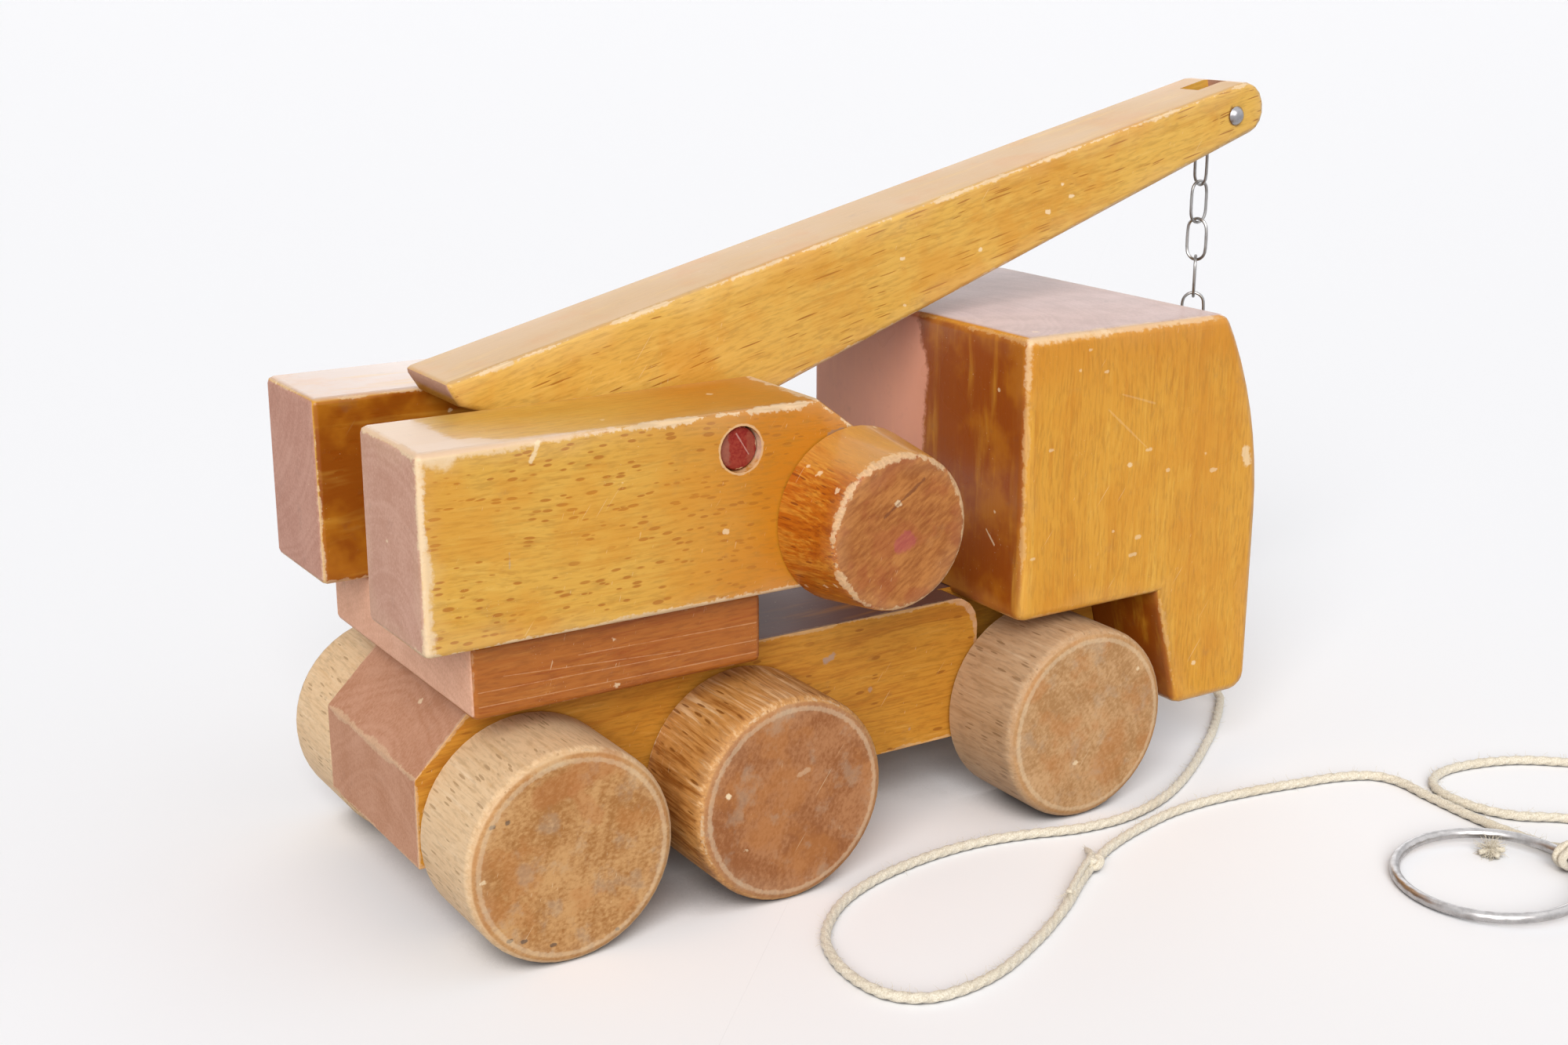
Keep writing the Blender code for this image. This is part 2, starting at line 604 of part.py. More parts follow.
def cam_outline():
    """The cam's side about its axle: it stays just under the boom at every turn of the knob."""
    steps = 20
    points = []
    for step in range(steps + 1):
        lift = radians(BOOM_LIFT) * step / steps
        lean = BOOM_LEAN + lift
        reach = KNOB_AHEAD * sin(lean) + KNOB_BELOW * cos(lean) - BOOM_GAP - FIT
        growth = (KNOB_AHEAD * cos(lean) - KNOB_BELOW * sin(lean)) / (1 + KNOB_TURN)
        normal = pi / 2 + lean + KNOB_TURN * lift
        points.append((reach * cos(normal) - growth * sin(normal),
                       reach * sin(normal) + growth * cos(normal)))
    back_start = normal + radians(CAM_LOBE_END)
    back_end = pi / 2 + BOOM_LEAN - radians(CAM_LOBE_START) + 2 * pi
    return points + arc((0, 0), CAM_BACK_R, back_start, back_end, 12)


def build_knob(knob_axis):
    hole_r = KNOB_AXLE_D / 2 + FIT
    face_r = KNOB_FACE_D / 2
    profile = [(0, KNOB_L)]
    profile += arc((face_r - KNOB_ROUND, KNOB_L - KNOB_ROUND), KNOB_ROUND, pi / 2, 0.0, 4)
    profile += [(KNOB_BASE_D / 2, 0), (hole_r, 0), (hole_r, KNOB_SEAT + FIT), (0, KNOB_SEAT + FIT)]
    knob_y = -CHEEK_OUT - RUN
    turned_part("knob", profile, "lacquered_beech", knob_axis, (0, knob_y, 0), (90, 0, 0), 40)
    right_end = knob_y - KNOB_SEAT
    left_end = CHEEK_OUT - PIVOT_RECESS
    turned_part("knob_axle", dowel_profile(KNOB_AXLE_D, left_end - right_end), "red_dowel", knob_axis,
                (0, (left_end + right_end) / 2, 0), (90, 0, 0))
    cam = part("lifting_cam", slab("lifting_cam", cam_outline(), CAM_T), "lacquered_beech", knob_axis)
    bore(cam, KNOB_AXLE_D + 2 * FIT, 2 * CAM_T, knob_axis, (0, 0, 0), (90, 0, 0))


def link_points():
    """The middle of a link's wire: two half rounds joined by straight sides, in X and Z."""
    bend = (LINK_INNER_W + CHAIN_WIRE) / 2
    half = (LINK_INNER_L - LINK_INNER_W) / 2
    middle_line = arc((0, half), bend, 0.0, pi, 6) + arc((0, -half), bend, pi, 2 * pi, 6)
    return [(x, 0, z) for x, z in middle_line]


def hook_points():
    """The middle of the hook's wire, in X and Z from the wire that its eye hangs on."""
    eye_z = (CHAIN_WIRE + HOOK_WIRE) / 2 + FIT - HOOK_EYE_R
    bowl_z = eye_z - HOOK_SHANK
    leave = radians(HOOK_LEAVE)
    open_angle = 2 * asin((HOOK_WIRE + 2 * FIT) / (2 * HOOK_EYE_R))
    eye = arc((0, eye_z), HOOK_EYE_R, leave - 2 * pi + open_angle, leave, 12)
    bowl = arc((0, bowl_z), HOOK_BOWL_R, pi, radians(HOOK_BOWL_END), 12)
    shank = []
    steps = 6
    for step in range(1, steps):
        t = step / steps
        ease = t * t * (3 - 2 * t)
        shank.append((eye[-1][0] + (bowl[0][0] - eye[-1][0]) * ease,
                      eye[-1][1] + (bowl[0][1] - eye[-1][1]) * t))
    tip = (bowl[-1][0] + HOOK_WIRE / 2, bowl[-1][1] + HOOK_WIRE)
    return [(x, 0, z) for x, z in eye + shank + bowl + [tip]]


def build_chain(pin_axis):
    first_z = PIN_D / 2 + FIT - LINK_INNER_L / 2
    link_foot = (LINK_INNER_L + CHAIN_WIRE) / 2
    sway_z = first_z - link_foot
    sway_axis = empty("sway_axis", (0, 0, sway_z), pin_axis)
    for index, turn in enumerate(LINK_TURNS):
        name = f"chain_link_{index + 1:02d}"
        curve = tube_curve(name, link_points(), CHAIN_WIRE, cyclic=True, resolution=1)
        centre = first_z - index * LINK_STEP
        if index == 0:
            part(name, curve, "steel", pin_axis, (0, 0, centre), (0, 0, turn))
        else:
            part(name, curve, "steel", sway_axis, (0, 0, centre - sway_z), (0, 0, turn))
    last_z = first_z - (len(LINK_TURNS) - 1) * LINK_STEP
    hook_axis = empty("hook_axis", (0, 0, last_z - link_foot - sway_z), sway_axis)
    hook = tube_curve("crane_hook", hook_points(), HOOK_WIRE)
    part("crane_hook", hook, "steel", hook_axis, turn=(0, 0, LINK_TURNS[-1] + 90))


# Middle of the cord from the cab to the tie on the ring, in the truck's frame
CORD_ROUTE = [
    (CAB_FRONT - CORD_HOLE_DEPTH, CORD_HOLE_Y, CORD_HOLE_Z), (CAB_FRONT, CORD_HOLE_Y, CORD_HOLE_Z),
    (214.5, -4, 31.7), (222.3, -4.2, 26), (228.3, -5, 16.5), (232, -7.2, 7), (232.3, -12, CORD_Z),
    (226.3, -18.2, CORD_Z), (217.6, -25.8, CORD_Z), (207, -34.2, CORD_Z), (186, -48.6, CORD_Z),
    (169, -57.6, CORD_Z), (153, -61.8, CORD_Z), (138, -61.2, CORD_Z), (123, -56.6, CORD_Z),
    (110, -54, CORD_Z), (94.5, -54, CORD_Z), (77.4, -57.2, CORD_Z), (63.2, -63.5, CORD_Z),
    (52.1, -73.6, CORD_Z), (47.2, -84, CORD_Z), (46, -94.6, CORD_Z), (48, -103.2, CORD_Z),
    (53.5, -108.6, CORD_Z), (62, -110.2, CORD_Z), (74.3, -108.3, CORD_Z), (89.4, -101.8, CORD_Z),
    (105.7, -92.5, CORD_Z), (121.5, -81.5, CORD_Z), (137, -73, CORD_Z), (157, -67.2, CORD_Z),
    (172, -65.6, CORD_Z), (188, -67, CORD_Z), (202.6, -69.6, CORD_Z), (216, -72.6, CORD_Z),
    (225, -77, CORD_Z), (228, -84, CORD_Z), (227, -94.6, CORD_Z), (226.3, -109.2, CORD_Z),
    (226.8, -121.3, CORD_Z), (227.8, -130, CORD_Z),
]

# Middle of the loose tail, from the tie to its end knot
TAIL_ROUTE = [
    (241, -153, CORD_Z), (251, -150, CORD_Z), (256, -141, CORD_Z), (253, -130.5, CORD_Z),
    (245, -121.5, CORD_Z), (236, -114, CORD_Z), (231.8, -105, CORD_Z), (231.6, -95, CORD_Z),
    (236, -88, CORD_Z), (245.5, -85.1, CORD_Z), (257.6, -86.9, CORD_Z), (268.2, -91.5, CORD_Z),
    (277.1, -98.9, CORD_Z), (285, -106, CORD_Z),
]


def away(start, end, distance):
    """The point at a distance from one point towards another."""
    start = Vector(start)
    return start + (Vector(end) - start).normalized() * distance


def ball(radius):
    mesh = bpy.data.meshes.new("knot")
    body = bmesh.new()
    bmesh.ops.create_uvsphere(body, u_segments=12, v_segments=6, radius=radius * MM)
    body.to_mesh(mesh)
    body.free()
    return mesh


def build_cord(truck):
    wire_r = (RING_D - RING_WIRE) / 2
    wrap_r = RING_WIRE / 2 + FIT + TIE_CORD_R
    wrap_out = wrap_r + TIE_CORD_R
    low = RING_WIRE / 2 + CORD_LIFT
    high = wrap_out + CORD_LIFT
    tilt = asin((high - low) / (2 * wire_r))
    ring_frame = empty("ring_frame", (RING_X, RING_Y, (low + high) / 2), truck)
    ring_frame.rotation_euler = (0.0, -tilt, radians(RING_TURN))
    circle = [(x, y, 0) for x, y in arc((0, 0), wire_r, 0.0, 2 * pi, 36)[:-1]]
    part("pull_ring", tube_curve("pull_ring", circle, RING_WIRE, cyclic=True), "steel", ring_frame)

    wrap_circle = [(x, 0, z) for x, z in arc((0, 0), wrap_r, 0.0, 2 * pi, 12)[:-1]]
    wrap = curve_to_mesh(tube_curve("wrap", wrap_circle, 2 * TIE_CORD_R, cyclic=True, resolution=1))
    side = TIE_CORD_R * TIE_LAP
    knot_x = wire_r + wrap_out + TIE_KNOT_R * TIE_LAP
    tie_piece = part("ring_tie", wrap, "cotton", ring_frame, (wire_r, -side, 0))
    add_body(tie_piece, wrap.copy(), ring_frame, (wire_r, side, 0))
    add_body(tie_piece, ball(TIE_KNOT_R), ring_frame, (knot_x, 0, 0))
    smooth(tie_piece, 60)

    rise = (low + high) / 2
    turn = ring_frame.rotation_euler.to_matrix()
    tie = Vector((RING_X, RING_Y, rise)) + turn @ Vector((knot_x, 0, 0))
    clear = TIE_KNOT_R + FIT
    cord_end = away(tie, CORD_ROUTE[-1], clear)
    tail_start = away(tie, TAIL_ROUTE[0], clear)
    cord = smooth_route(CORD_ROUTE + [cord_end], CORD_STEP)
    part("pull_cord", tube_curve("pull_cord", cord, CORD_D), "cotton", truck)
    tail = smooth_route([tail_start] + TAIL_ROUTE, CORD_STEP)
    part("cord_tail", tube_curve("cord_tail", tail, CORD_D), "cotton", truck)
    end_knot = away(TAIL_ROUTE[-1], TAIL_ROUTE[-2], -TAIL_KNOT_R - FIT)
    end_knot.z = TAIL_KNOT_R + CORD_LIFT
    smooth(part("tail_knot", ball(TAIL_KNOT_R), "cotton", truck, end_knot), 60)


def main():
    tip_x = max(u * cos(TILT) - v * sin(TILT) for u, v in boom_outline())
    front = SLEW_X + PIVOT_AHEAD + tip_x
    back = SLEW_X - CHEEK_TAIL
    left = WHEEL_IN + WHEEL_W
    right = -CHEEK_OUT - RUN - KNOB_L
    truck = empty("truck_frame", (-(front + back) / 2, -(left + right) / 2, 0))
    build_chassis(truck)
    build_cab(truck)
    build_wheels(truck)
    crane = empty("slew_axis", (SLEW_X, 0, PLATE_BOTTOM), truck)
    build_crane_base(crane)
    boom_frame = empty("boom_axis", (PIVOT_AHEAD, 0, PIVOT_Z), crane, BOOM_TILT)
    build_boom(boom_frame)
    build_knob(empty("knob_axis", (KNOB_X, 0, KNOB_Z), crane))
    build_chain(empty("pin_axis", (PIN_U, 0, PIN_V), boom_frame, -BOOM_TILT))
    build_cord(truck)


main()
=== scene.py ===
"""Wooden toy crane truck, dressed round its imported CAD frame. Lengths are metres unless mm is said."""

import json
from math import asin, atan2, cos, pi, radians, sin
from types import SimpleNamespace

import bpy
import numpy as np
from mathutils import Euler, Matrix, Vector

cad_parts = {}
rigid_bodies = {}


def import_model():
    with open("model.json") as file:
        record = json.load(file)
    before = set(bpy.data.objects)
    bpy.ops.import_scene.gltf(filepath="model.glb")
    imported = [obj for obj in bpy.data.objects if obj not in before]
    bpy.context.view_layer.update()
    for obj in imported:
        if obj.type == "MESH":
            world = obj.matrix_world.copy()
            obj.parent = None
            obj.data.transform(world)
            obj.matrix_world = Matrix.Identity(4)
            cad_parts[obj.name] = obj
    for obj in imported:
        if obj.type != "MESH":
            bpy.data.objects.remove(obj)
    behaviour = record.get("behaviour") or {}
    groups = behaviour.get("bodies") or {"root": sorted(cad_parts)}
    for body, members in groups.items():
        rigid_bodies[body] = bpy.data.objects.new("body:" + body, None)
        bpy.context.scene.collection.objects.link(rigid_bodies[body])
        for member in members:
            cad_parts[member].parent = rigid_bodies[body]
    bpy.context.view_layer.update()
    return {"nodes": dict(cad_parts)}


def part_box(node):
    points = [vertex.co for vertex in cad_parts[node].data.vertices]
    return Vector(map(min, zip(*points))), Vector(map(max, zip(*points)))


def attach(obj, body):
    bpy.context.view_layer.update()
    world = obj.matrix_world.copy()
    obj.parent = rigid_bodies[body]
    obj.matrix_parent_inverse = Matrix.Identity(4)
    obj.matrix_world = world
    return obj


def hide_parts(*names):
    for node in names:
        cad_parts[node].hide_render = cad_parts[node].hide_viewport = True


for leftover in list(bpy.data.objects):
    bpy.data.objects.remove(leftover, do_unlink=True)
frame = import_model()
NODES = frame["nodes"]

# Camera, as fitted to the photograph's 2000 by 1333 frame
CAMERA_PLACE = (-0.278745, -0.408726, 0.215146)
CAMERA_YAW = 0.5661
CAMERA_PITCH = -0.28014
CAMERA_ROLL = 0.00193
FOCAL_PX = 2574.2
FRAME_PX = 2000
SENSOR_MM = 36.0

# Places on the object, in the row frame
TRUCK = Vector((-0.102994, 0.0057, 0.0))
BOOM_PIVOT = Vector((-0.055594, 0.0057, 0.107846))
BOOM_TILT = radians(13.55)
BOOM_ALONG = Vector((cos(BOOM_TILT), 0.0, sin(BOOM_TILT)))
BOOM_UP = Vector((-sin(BOOM_TILT), 0.0, cos(BOOM_TILT)))
KNOB_AXIS = Vector((-0.025594, 0.0057, 0.088746))
AXLES = {"rear": -0.102994, "middle": -0.046594, "front": 0.041806}
AXLE_Z = 0.024946
TIP_PIN = Vector((0.121106, 0.0, 0.170284))
WHEEL_R_MM = 25.0
WHEEL_FACES_MM = (27.7, 53.7)  # inner and outer, from the truck's middle plane
KNOB_R_MM = 20.8
KNOB_TAPER_MM = 2.4
KNOB_Y_MM = (-40.4, -59.4)  # root and face
CHEEK_CLIP_MM = (22.0, 16.3)  # the cut corner, along and down
CHASSIS_CHAMFER_MM = 16.0
CAB_ARCH = (0.070006, 0.0, 0.052946)  # where the cab's underside meets its leg
CAB_LEG_MM = (8.0, 32.6)  # how far the leg's rear face leans, over its height
CAB_BULGE = (0.0143, 0.054)  # of the windscreen, forward and over its height
BOOM_ABOVE = 0.027  # faces of the boom, from the pivot
BOOM_BELOW = 0.0066
BOOM_BEHIND = 0.050
BOOM_AHEAD = 0.1971
BOOM_TAPER = atan2(20.2, 197.11)

MM = 0.001
TO_MM = 1000.0
UP = (0.0, 0.0, 1.0)
TO_LEFT = (0.0, 1.0, 0.0)
TO_RIGHT = (0.0, -1.0, 0.0)
TO_REAR = (-1.0, 0.0, 0.0)

# Lights: name, direction from the object, strength on a white face, spread in degrees, colour
LIGHTS = [
    ("key", (-0.54, -0.68, 0.50), 1.0, 42.0, (1.0, 0.99, 0.98)),
    ("side", (0.62, -0.45, 0.64), 0.13, 70.0, (1.0, 1.0, 1.0)),
    ("back", (0.515, 0.811, 0.34), 0.16, 50.0, (0.97, 0.98, 1.0)),
    ("top", (0.0, 0.0, 1.0), 0.14, 80.0, (1.0, 1.0, 1.0)),
]
ROOM_TONE = (0.95, 0.96, 1.0, 1.0)
ROOM_STRENGTH = 0.20
BACKDROP_TONE = (0.95, 0.96, 0.99, 1.0)
FLOOR_HALF = 24.0
FLOOR_TONE = (0.96, 0.96, 0.975, 1.0)
FLOOR_BOUNCE_TONE = (0.55, 0.55, 0.56, 1.0)
# Painted contact shadow on the floor: its tone, how far it reaches, and the openness it spans
CONTACT_SHADOW_TONE = (0.03, 0.025, 0.028, 1.0)
CONTACT_REACH = 0.030
CONTACT_OPEN = (0.02, 0.40)  # openness of the floor at full contact tone and at none


def new_object(name, data):
    made = bpy.data.objects.new(name, data)
    bpy.context.scene.collection.objects.link(made)
    return made


def make_camera():
    forward = Vector((sin(CAMERA_YAW) * cos(CAMERA_PITCH), cos(CAMERA_YAW) * cos(CAMERA_PITCH),
                      sin(CAMERA_PITCH)))
    level = Vector((cos(CAMERA_YAW), -sin(CAMERA_YAW), 0.0))
    upright = level.cross(forward)
    right = cos(CAMERA_ROLL) * level + sin(CAMERA_ROLL) * upright
    up = -sin(CAMERA_ROLL) * level + cos(CAMERA_ROLL) * upright
    data = bpy.data.cameras.new("camera")
    data.sensor_fit = "HORIZONTAL"
    data.sensor_width = SENSOR_MM
    data.lens = FOCAL_PX * SENSOR_MM / FRAME_PX
    data.clip_start = 0.01
    data.clip_end = 60.0
    camera = new_object("camera", data)
    turn = Matrix((right, up, -forward)).transposed()
    camera.matrix_world = Matrix.Translation(CAMERA_PLACE) @ turn.to_4x4()
    bpy.context.scene.camera = camera


def share_in_view(tree):
    """1 for what the camera sees, itself or in metal and glass, and 0 for light on its way to the object."""
    path = tree.nodes.new("ShaderNodeLightPath")
    share = path.outputs["Is Camera Ray"]
    for kind in ("Is Glossy Ray", "Is Transmission Ray"):
        either = tree.nodes.new("ShaderNodeMath")
        either.operation = "ADD"
        either.use_clamp = True
        tree.links.new(share, either.inputs[0])
        tree.links.new(path.outputs[kind], either.inputs[1])
        share = either.outputs[0]
    return share


def make_lights():
    for name, toward, strength, spread, colour in LIGHTS:
        data = bpy.data.lights.new(name, "SUN")
        data.energy = strength * pi
        data.angle = radians(spread)
        data.color = colour
        new_object(name, data).rotation_euler = Vector(toward).to_track_quat("Z", "Y").to_euler()
    world = bpy.data.worlds.new("studio")
    bpy.context.scene.world = world
    world.use_nodes = True
    tree = world.node_tree
    room = tree.nodes["Background"]
    room.inputs["Color"].default_value = ROOM_TONE
    room.inputs["Strength"].default_value = ROOM_STRENGTH
    backdrop = tree.nodes.new("ShaderNodeBackground")
    backdrop.inputs["Color"].default_value = BACKDROP_TONE
    blend = tree.nodes.new("ShaderNodeMixShader")
    tree.links.new(share_in_view(tree), blend.inputs[0])
    tree.links.new(room.outputs[0], blend.inputs[1])
    tree.links.new(backdrop.outputs[0], blend.inputs[2])
    tree.links.new(blend.outputs[0], tree.nodes["World Output"].inputs["Surface"])


class Surface:
    """A node material that is built up step by step. Inside it lengths are millimetres of the piece at rest."""

    def __init__(self, name, turn=(0.0, 0.0, 0.0)):
        self.material = bpy.data.materials.new(name)
        self.material.use_nodes = True
        self.tree = self.material.node_tree
        self.shader = self.tree.nodes["Principled BSDF"]
        coords = self.add("TexCoord")
        self.normal = coords.outputs["Normal"]
        self.place = self.vec("SCALE", coords.outputs["Object"], scale=TO_MM)
        self.grain = self.place
        self.grain_axis = Euler(turn).to_matrix().transposed() @ Vector((1.0, 0.0, 0.0))
        if any(turn):
            self.grain = self.add("Mapping", {"Vector": self.place, "Rotation": turn}).outputs[0]

    def add(self, kind, inputs=None, **settings):
        node = self.tree.nodes.new("ShaderNode" + kind)
        for key, value in settings.items():
            setattr(node, key, value)
        for key, value in (inputs or {}).items():
            self.feed(node.inputs[key], value)
        return node

    def feed(self, socket, value):
        if isinstance(value, bpy.types.NodeSocket):
            self.tree.links.new(value, socket)
        elif socket.type == "RGBA" and len(value) == 3:
            socket.default_value = (*value, 1.0)
        else:
            socket.default_value = value

    def math(self, operation, a, b=0.0, clamp=False):
        node = self.add("Math", {0: a, 1: b}, operation=operation, use_clamp=clamp)
        return node.outputs[0]

    def times(self, a, b):
        return self.math("MULTIPLY", a, b)

    def minus(self, a, b):
        return self.math("SUBTRACT", a, b)

    def plus(self, *values):
        total = values[0]
        for value in values[1:]:
            total = self.math("ADD", total, value)
        return total

    def blend(self, parts, shares):
        return self.plus(*(self.times(part, share) for part, share in zip(parts, shares)))

    def either(self, *values):
        most = values[0]
        for value in values[1:]:
            most = self.math("MAXIMUM", most, value)
        return most

    def sway(self, noise, reach):
        """A noise of 0 to 1 turned into an offset of about that reach either way."""
        return self.times(self.minus(noise, 0.5), 2.0 * reach)

    def vec(self, operation, a, b=None, scale=None):
        node = self.add("VectorMath", {0: a}, operation=operation)
        if b is not None:
            self.feed(node.inputs[1], b)
        if scale is not None:
            self.feed(node.inputs["Scale"], scale)
        return node.outputs["Value" if operation in ("DOT_PRODUCT", "LENGTH") else "Vector"]

    def step(self, value, low, high):
        """0 at low and 1 at high; low may be the larger."""
        node = self.add("MapRange", {"Value": value, "From Min": low, "From Max": high})
        node.interpolation_type = "SMOOTHSTEP"
        return node.outputs[0]

    def mix(self, share, a, b):
        return self.add("Mix", {0: share, 6: a, 7: b}, data_type="RGBA").outputs[2]

    def scaled(self, vector, size):
        """The vector in units of a size in mm: one number, or along and across the grain, or three."""
        sizes = (*size, size[-1])[:3] if isinstance(size, tuple) else (size, size, size)
        return self.vec("MULTIPLY", vector, tuple(1.0 / edge for edge in sizes))

    def noise(self, vector, size, detail=3.0, rough=0.55):
        """Noise with features of about the given size."""
        texture = {"Vector": self.scaled(vector, size), "Scale": 1.0, "Detail": detail, "Roughness": rough}
        return self.add("TexNoise", texture).outputs[0]

    def spots(self, vector, size, radius, share):
        """Blobs in cells of a size: a share of the cells has one, of that radius against its cell."""
        cell = self.add("TexVoronoi", {"Vector": self.scaled(vector, size), "Scale": 1.0})
        pick = self.add("SeparateColor", {0: cell.outputs["Color"]})
        present = self.step(pick.outputs[0], 1.0 - share, 1.0 - share + 0.02)
        wide = self.times(present, self.plus(0.6 * radius, self.times(pick.outputs[1], 0.6 * radius)))
        return self.step(cell.outputs["Distance"], wide, self.times(wide, 0.65))

    def scratches(self, angles, length, width, amount):
        """Thin straight marks along one direction. A larger amount gives more of them."""
        turned = self.add("Mapping", {"Vector": self.place, "Rotation": angles}).outputs[0]
        lines = self.noise(turned, (length, width), detail=0.0)
        patchy = self.step(self.noise(turned, SCRATCHED_MM, detail=1.0), 0.50, 0.62)
        return self.times(self.step(lines, 0.84 - 0.1 * amount, 0.89 - 0.1 * amount), patchy)

    def stroke(self, start, end, half_width, ragged, wander):
        """1 on a mark along a line from start to end (row frame, mm), with an uneven edge."""
        start = Vector(start)
        run = Vector(end) - start
        away = self.vec("SUBTRACT", self.place, start)
        if run.length > 0.0:
            along = self.vec("DOT_PRODUCT", away, run)
            share = self.math("DIVIDE", along, run.length_squared, clamp=True)
            away = self.vec("SUBTRACT", away, self.vec("SCALE", run, scale=share))
        off = self.plus(self.vec("LENGTH", away), self.sway(ragged, min(1.1 * half_width, 1.5)),
                        self.sway(wander, min(0.9 * half_width, 3.0)))
        return self.step(off, half_width, max(0.5 * half_width, half_width - 2.0))

    def edge(self, distances):
        """Distance in mm to the nearest edge, from the distances to the faces."""
        first = distances[0]
        second = None
        for value in distances[1:]:
            outer = self.math("MAXIMUM", first, value)
            second = outer if second is None else self.math("MINIMUM", second, outer)
            first = self.math("MINIMUM", first, value)
        return second

    def plane(self, normal, point):
        """Depth in mm under a plane through a point (row frame, metres), with its outward normal."""
        normal = Vector(normal).normalized()
        offset = normal.dot(Vector(point)) * TO_MM
        return self.minus(offset, self.vec("DOT_PRODUCT", self.place, normal))

    def box_faces(self, low, high):
        faces = []
        for axis in range(3):
            unit = Vector((0.0, 0.0, 0.0))
            unit[axis] = 1.0
            faces += [self.plane(unit, high), self.plane(-unit, low)]
        return faces

    def radius_from(self, point):
        """Distance in mm from an axis along Y through a point (row frame, metres)."""
        away = self.vec("SUBTRACT", self.place, TO_MM * Vector(point))
        return self.vec("LENGTH", self.vec("MULTIPLY", away, (1.0, 0.0, 1.0)))

    def y_place(self):
        return self.add("SeparateXYZ", {0: self.place}).outputs[1]

    def toward(self, normal):
        """1 where the surface looks along the normal, and -1 where it looks away."""
        return self.vec("DOT_PRODUCT", self.normal, normal)

    def facing(self, normal):
        """1 where the surface looks along the normal, to either side."""
        return self.math("ABSOLUTE", self.toward(normal))

    def bump(self, height, strength, depth_mm):
        """Relief from a height of 0 to 1."""
        node = self.add("Bump", {"Height": height, "Strength": strength, "Distance": depth_mm * MM})
        self.tree.links.new(node.outputs[0], self.shader.inputs["Normal"])

    def finish(self, colour, roughness, coat=0.0, coat_roughness=0.2, metallic=0.0, specular=0.5):
        self.feed(self.shader.inputs["Base Color"], colour)
        self.feed(self.shader.inputs["Roughness"], roughness)
        self.shader.inputs["Coat Roughness"].default_value = coat_roughness
        self.feed(self.shader.inputs["Coat Weight"], coat)
        self.shader.inputs["Metallic"].default_value = metallic
        self.shader.inputs["Specular IOR Level"].default_value = specular
        return self.material


def make_floor():
    """A pale floor with a painted contact shadow: it darkens where the object stands close over it."""
    s = Surface("floor")
    openness = s.add("AmbientOcclusion", {"Distance": CONTACT_REACH}).outputs["AO"]
    low, high = CONTACT_OPEN
    clear = s.add("MapRange", {"Value": openness, "From Min": low, "From Max": high}).outputs[0]
    seen_tone = s.mix(clear, CONTACT_SHADOW_TONE, FLOOR_TONE)
    material = s.finish(s.mix(share_in_view(s.tree), FLOOR_BOUNCE_TONE, seen_tone), 0.8, specular=0.1)
    far = FLOOR_HALF
    verts = [(-far, -far, 0.0), (far, -far, 0.0), (far, far, 0.0), (-far, far, 0.0)]
    mesh_piece("floor", verts, [(0, 1, 2, 3)], material)


ALONG_X = (0.0, 0.0, 0.0)
ALONG_Y = (0.0, 0.0, -pi / 2)
ALONG_Z = (0.0, pi / 2, 0.0)
ALONG_BOOM = (0.0, BOOM_TILT, 0.0)

CREAM = (0.80, 0.60, 0.38)
PALE_CHIP = (0.88, 0.71, 0.46)
DIRT = (0.13, 0.10, 0.08)

# What a wood can be told, with the values for a plain lacquered block
LACQUER = dict(
    wear_mm=1.6,  # width of the worn edges
    wear=0.8,
    worn_tone=CREAM,
    fade_mm=6.0,  # width of the paler lacquer beside them
    fade=0.1,
    flecks=0.0,  # share of the cells with a dark ray fleck
    fleck_size=(5.0, 1.5),
    fleck_face=None,  # normal of the faces that show flecks
    fleck_tone=(0.33, 0.115, 0.012),
    lines=0.3,  # dark hair lines along the grain
    scratch=0.2,
    chips=0.06,
    roughness=0.36,
    coat=0.12,
    gloss_top=0.0,  # more polish on the faces that look up
    contrast=1.0,  # of the streaks along the grain
    grit=0.35,  # fine dark pores along the grain
    band_mm=5.0,  # width of the broad streaks
    pith=(0.0, 0.0, 0.0),  # middle of the rings, in the grain's own frame
    rings=0.25,
    speckle=0.4,  # share of fine pores in the end grain
    pores=(2.5, 0.6, 0.6),
    blotch=0.3,
    end_contrast=1.2,
    end_sharp=0.75,
    strokes=(),  # marks: start, end, half width (mm), amount, tone, normal of their face if any
    hoops=(),  # round marks: point, radius, half width (mm), amount, tone
    stains=(),  # clouds: size (mm), from, to, amount, tone, on end grain (or else off it)
    # On some pieces faces carries painted shade or painted light on one side of the piece
    faces=(),  # faces of another tone: normal, amount, tone
    shades=(),  # slow change of tone: start, end, amount, tone
    grime=0.15,
)

# Sizes in mm of what the wood shows, along its grain and across it
DRIFT_MM = (70.0, 20.0)
STREAK_MM = (16.0, 0.7)
HAIR_MM = (34.0, 0.42)
PORE_MM = (4.5, 0.75)
CROWD_MM = (34.0, 11.0)
PATCH_MM = (40.0, 5.0)
RING_DRIFT_MM = (60.0, 26.0)
BLOTCH_MM = (30.0, 9.0)
BARE_MM = (6.0, 0.6)
BAND_STRETCH = 22.0
# Sizes in mm of what doesn't follow the grain
CLOUD_MM = 30.0
SPREAD_MM = 15.0
GRIME_MM = 7.0
RING_MM = 1.9
RAGGED_MM = 1.5
NICK_CELL_MM = (6.5, 6.5, 5.0)
SCRATCHED_MM = (60.0, 18.0)
# Scratches in three directions: turn, length and width
SCRATCHES = [((0.4, 0.9, 0.3), 26.0, 0.30), ((1.9, -0.5, 1.2), 16.0, 0.26), ((0.9, 2.1, -0.8), 20.0, 0.26)]
# Tone along the grain: shares of broad streaks, fine streaks and clouds, then its middle and half its range
TONE_SHARES = (0.36, 0.40, 0.24)
TONE_MIDDLE = 0.51
TONE_HALF = 0.13
END_HALF = 0.16


def darker(tone, share):
    return tuple(share * part for part in tone)


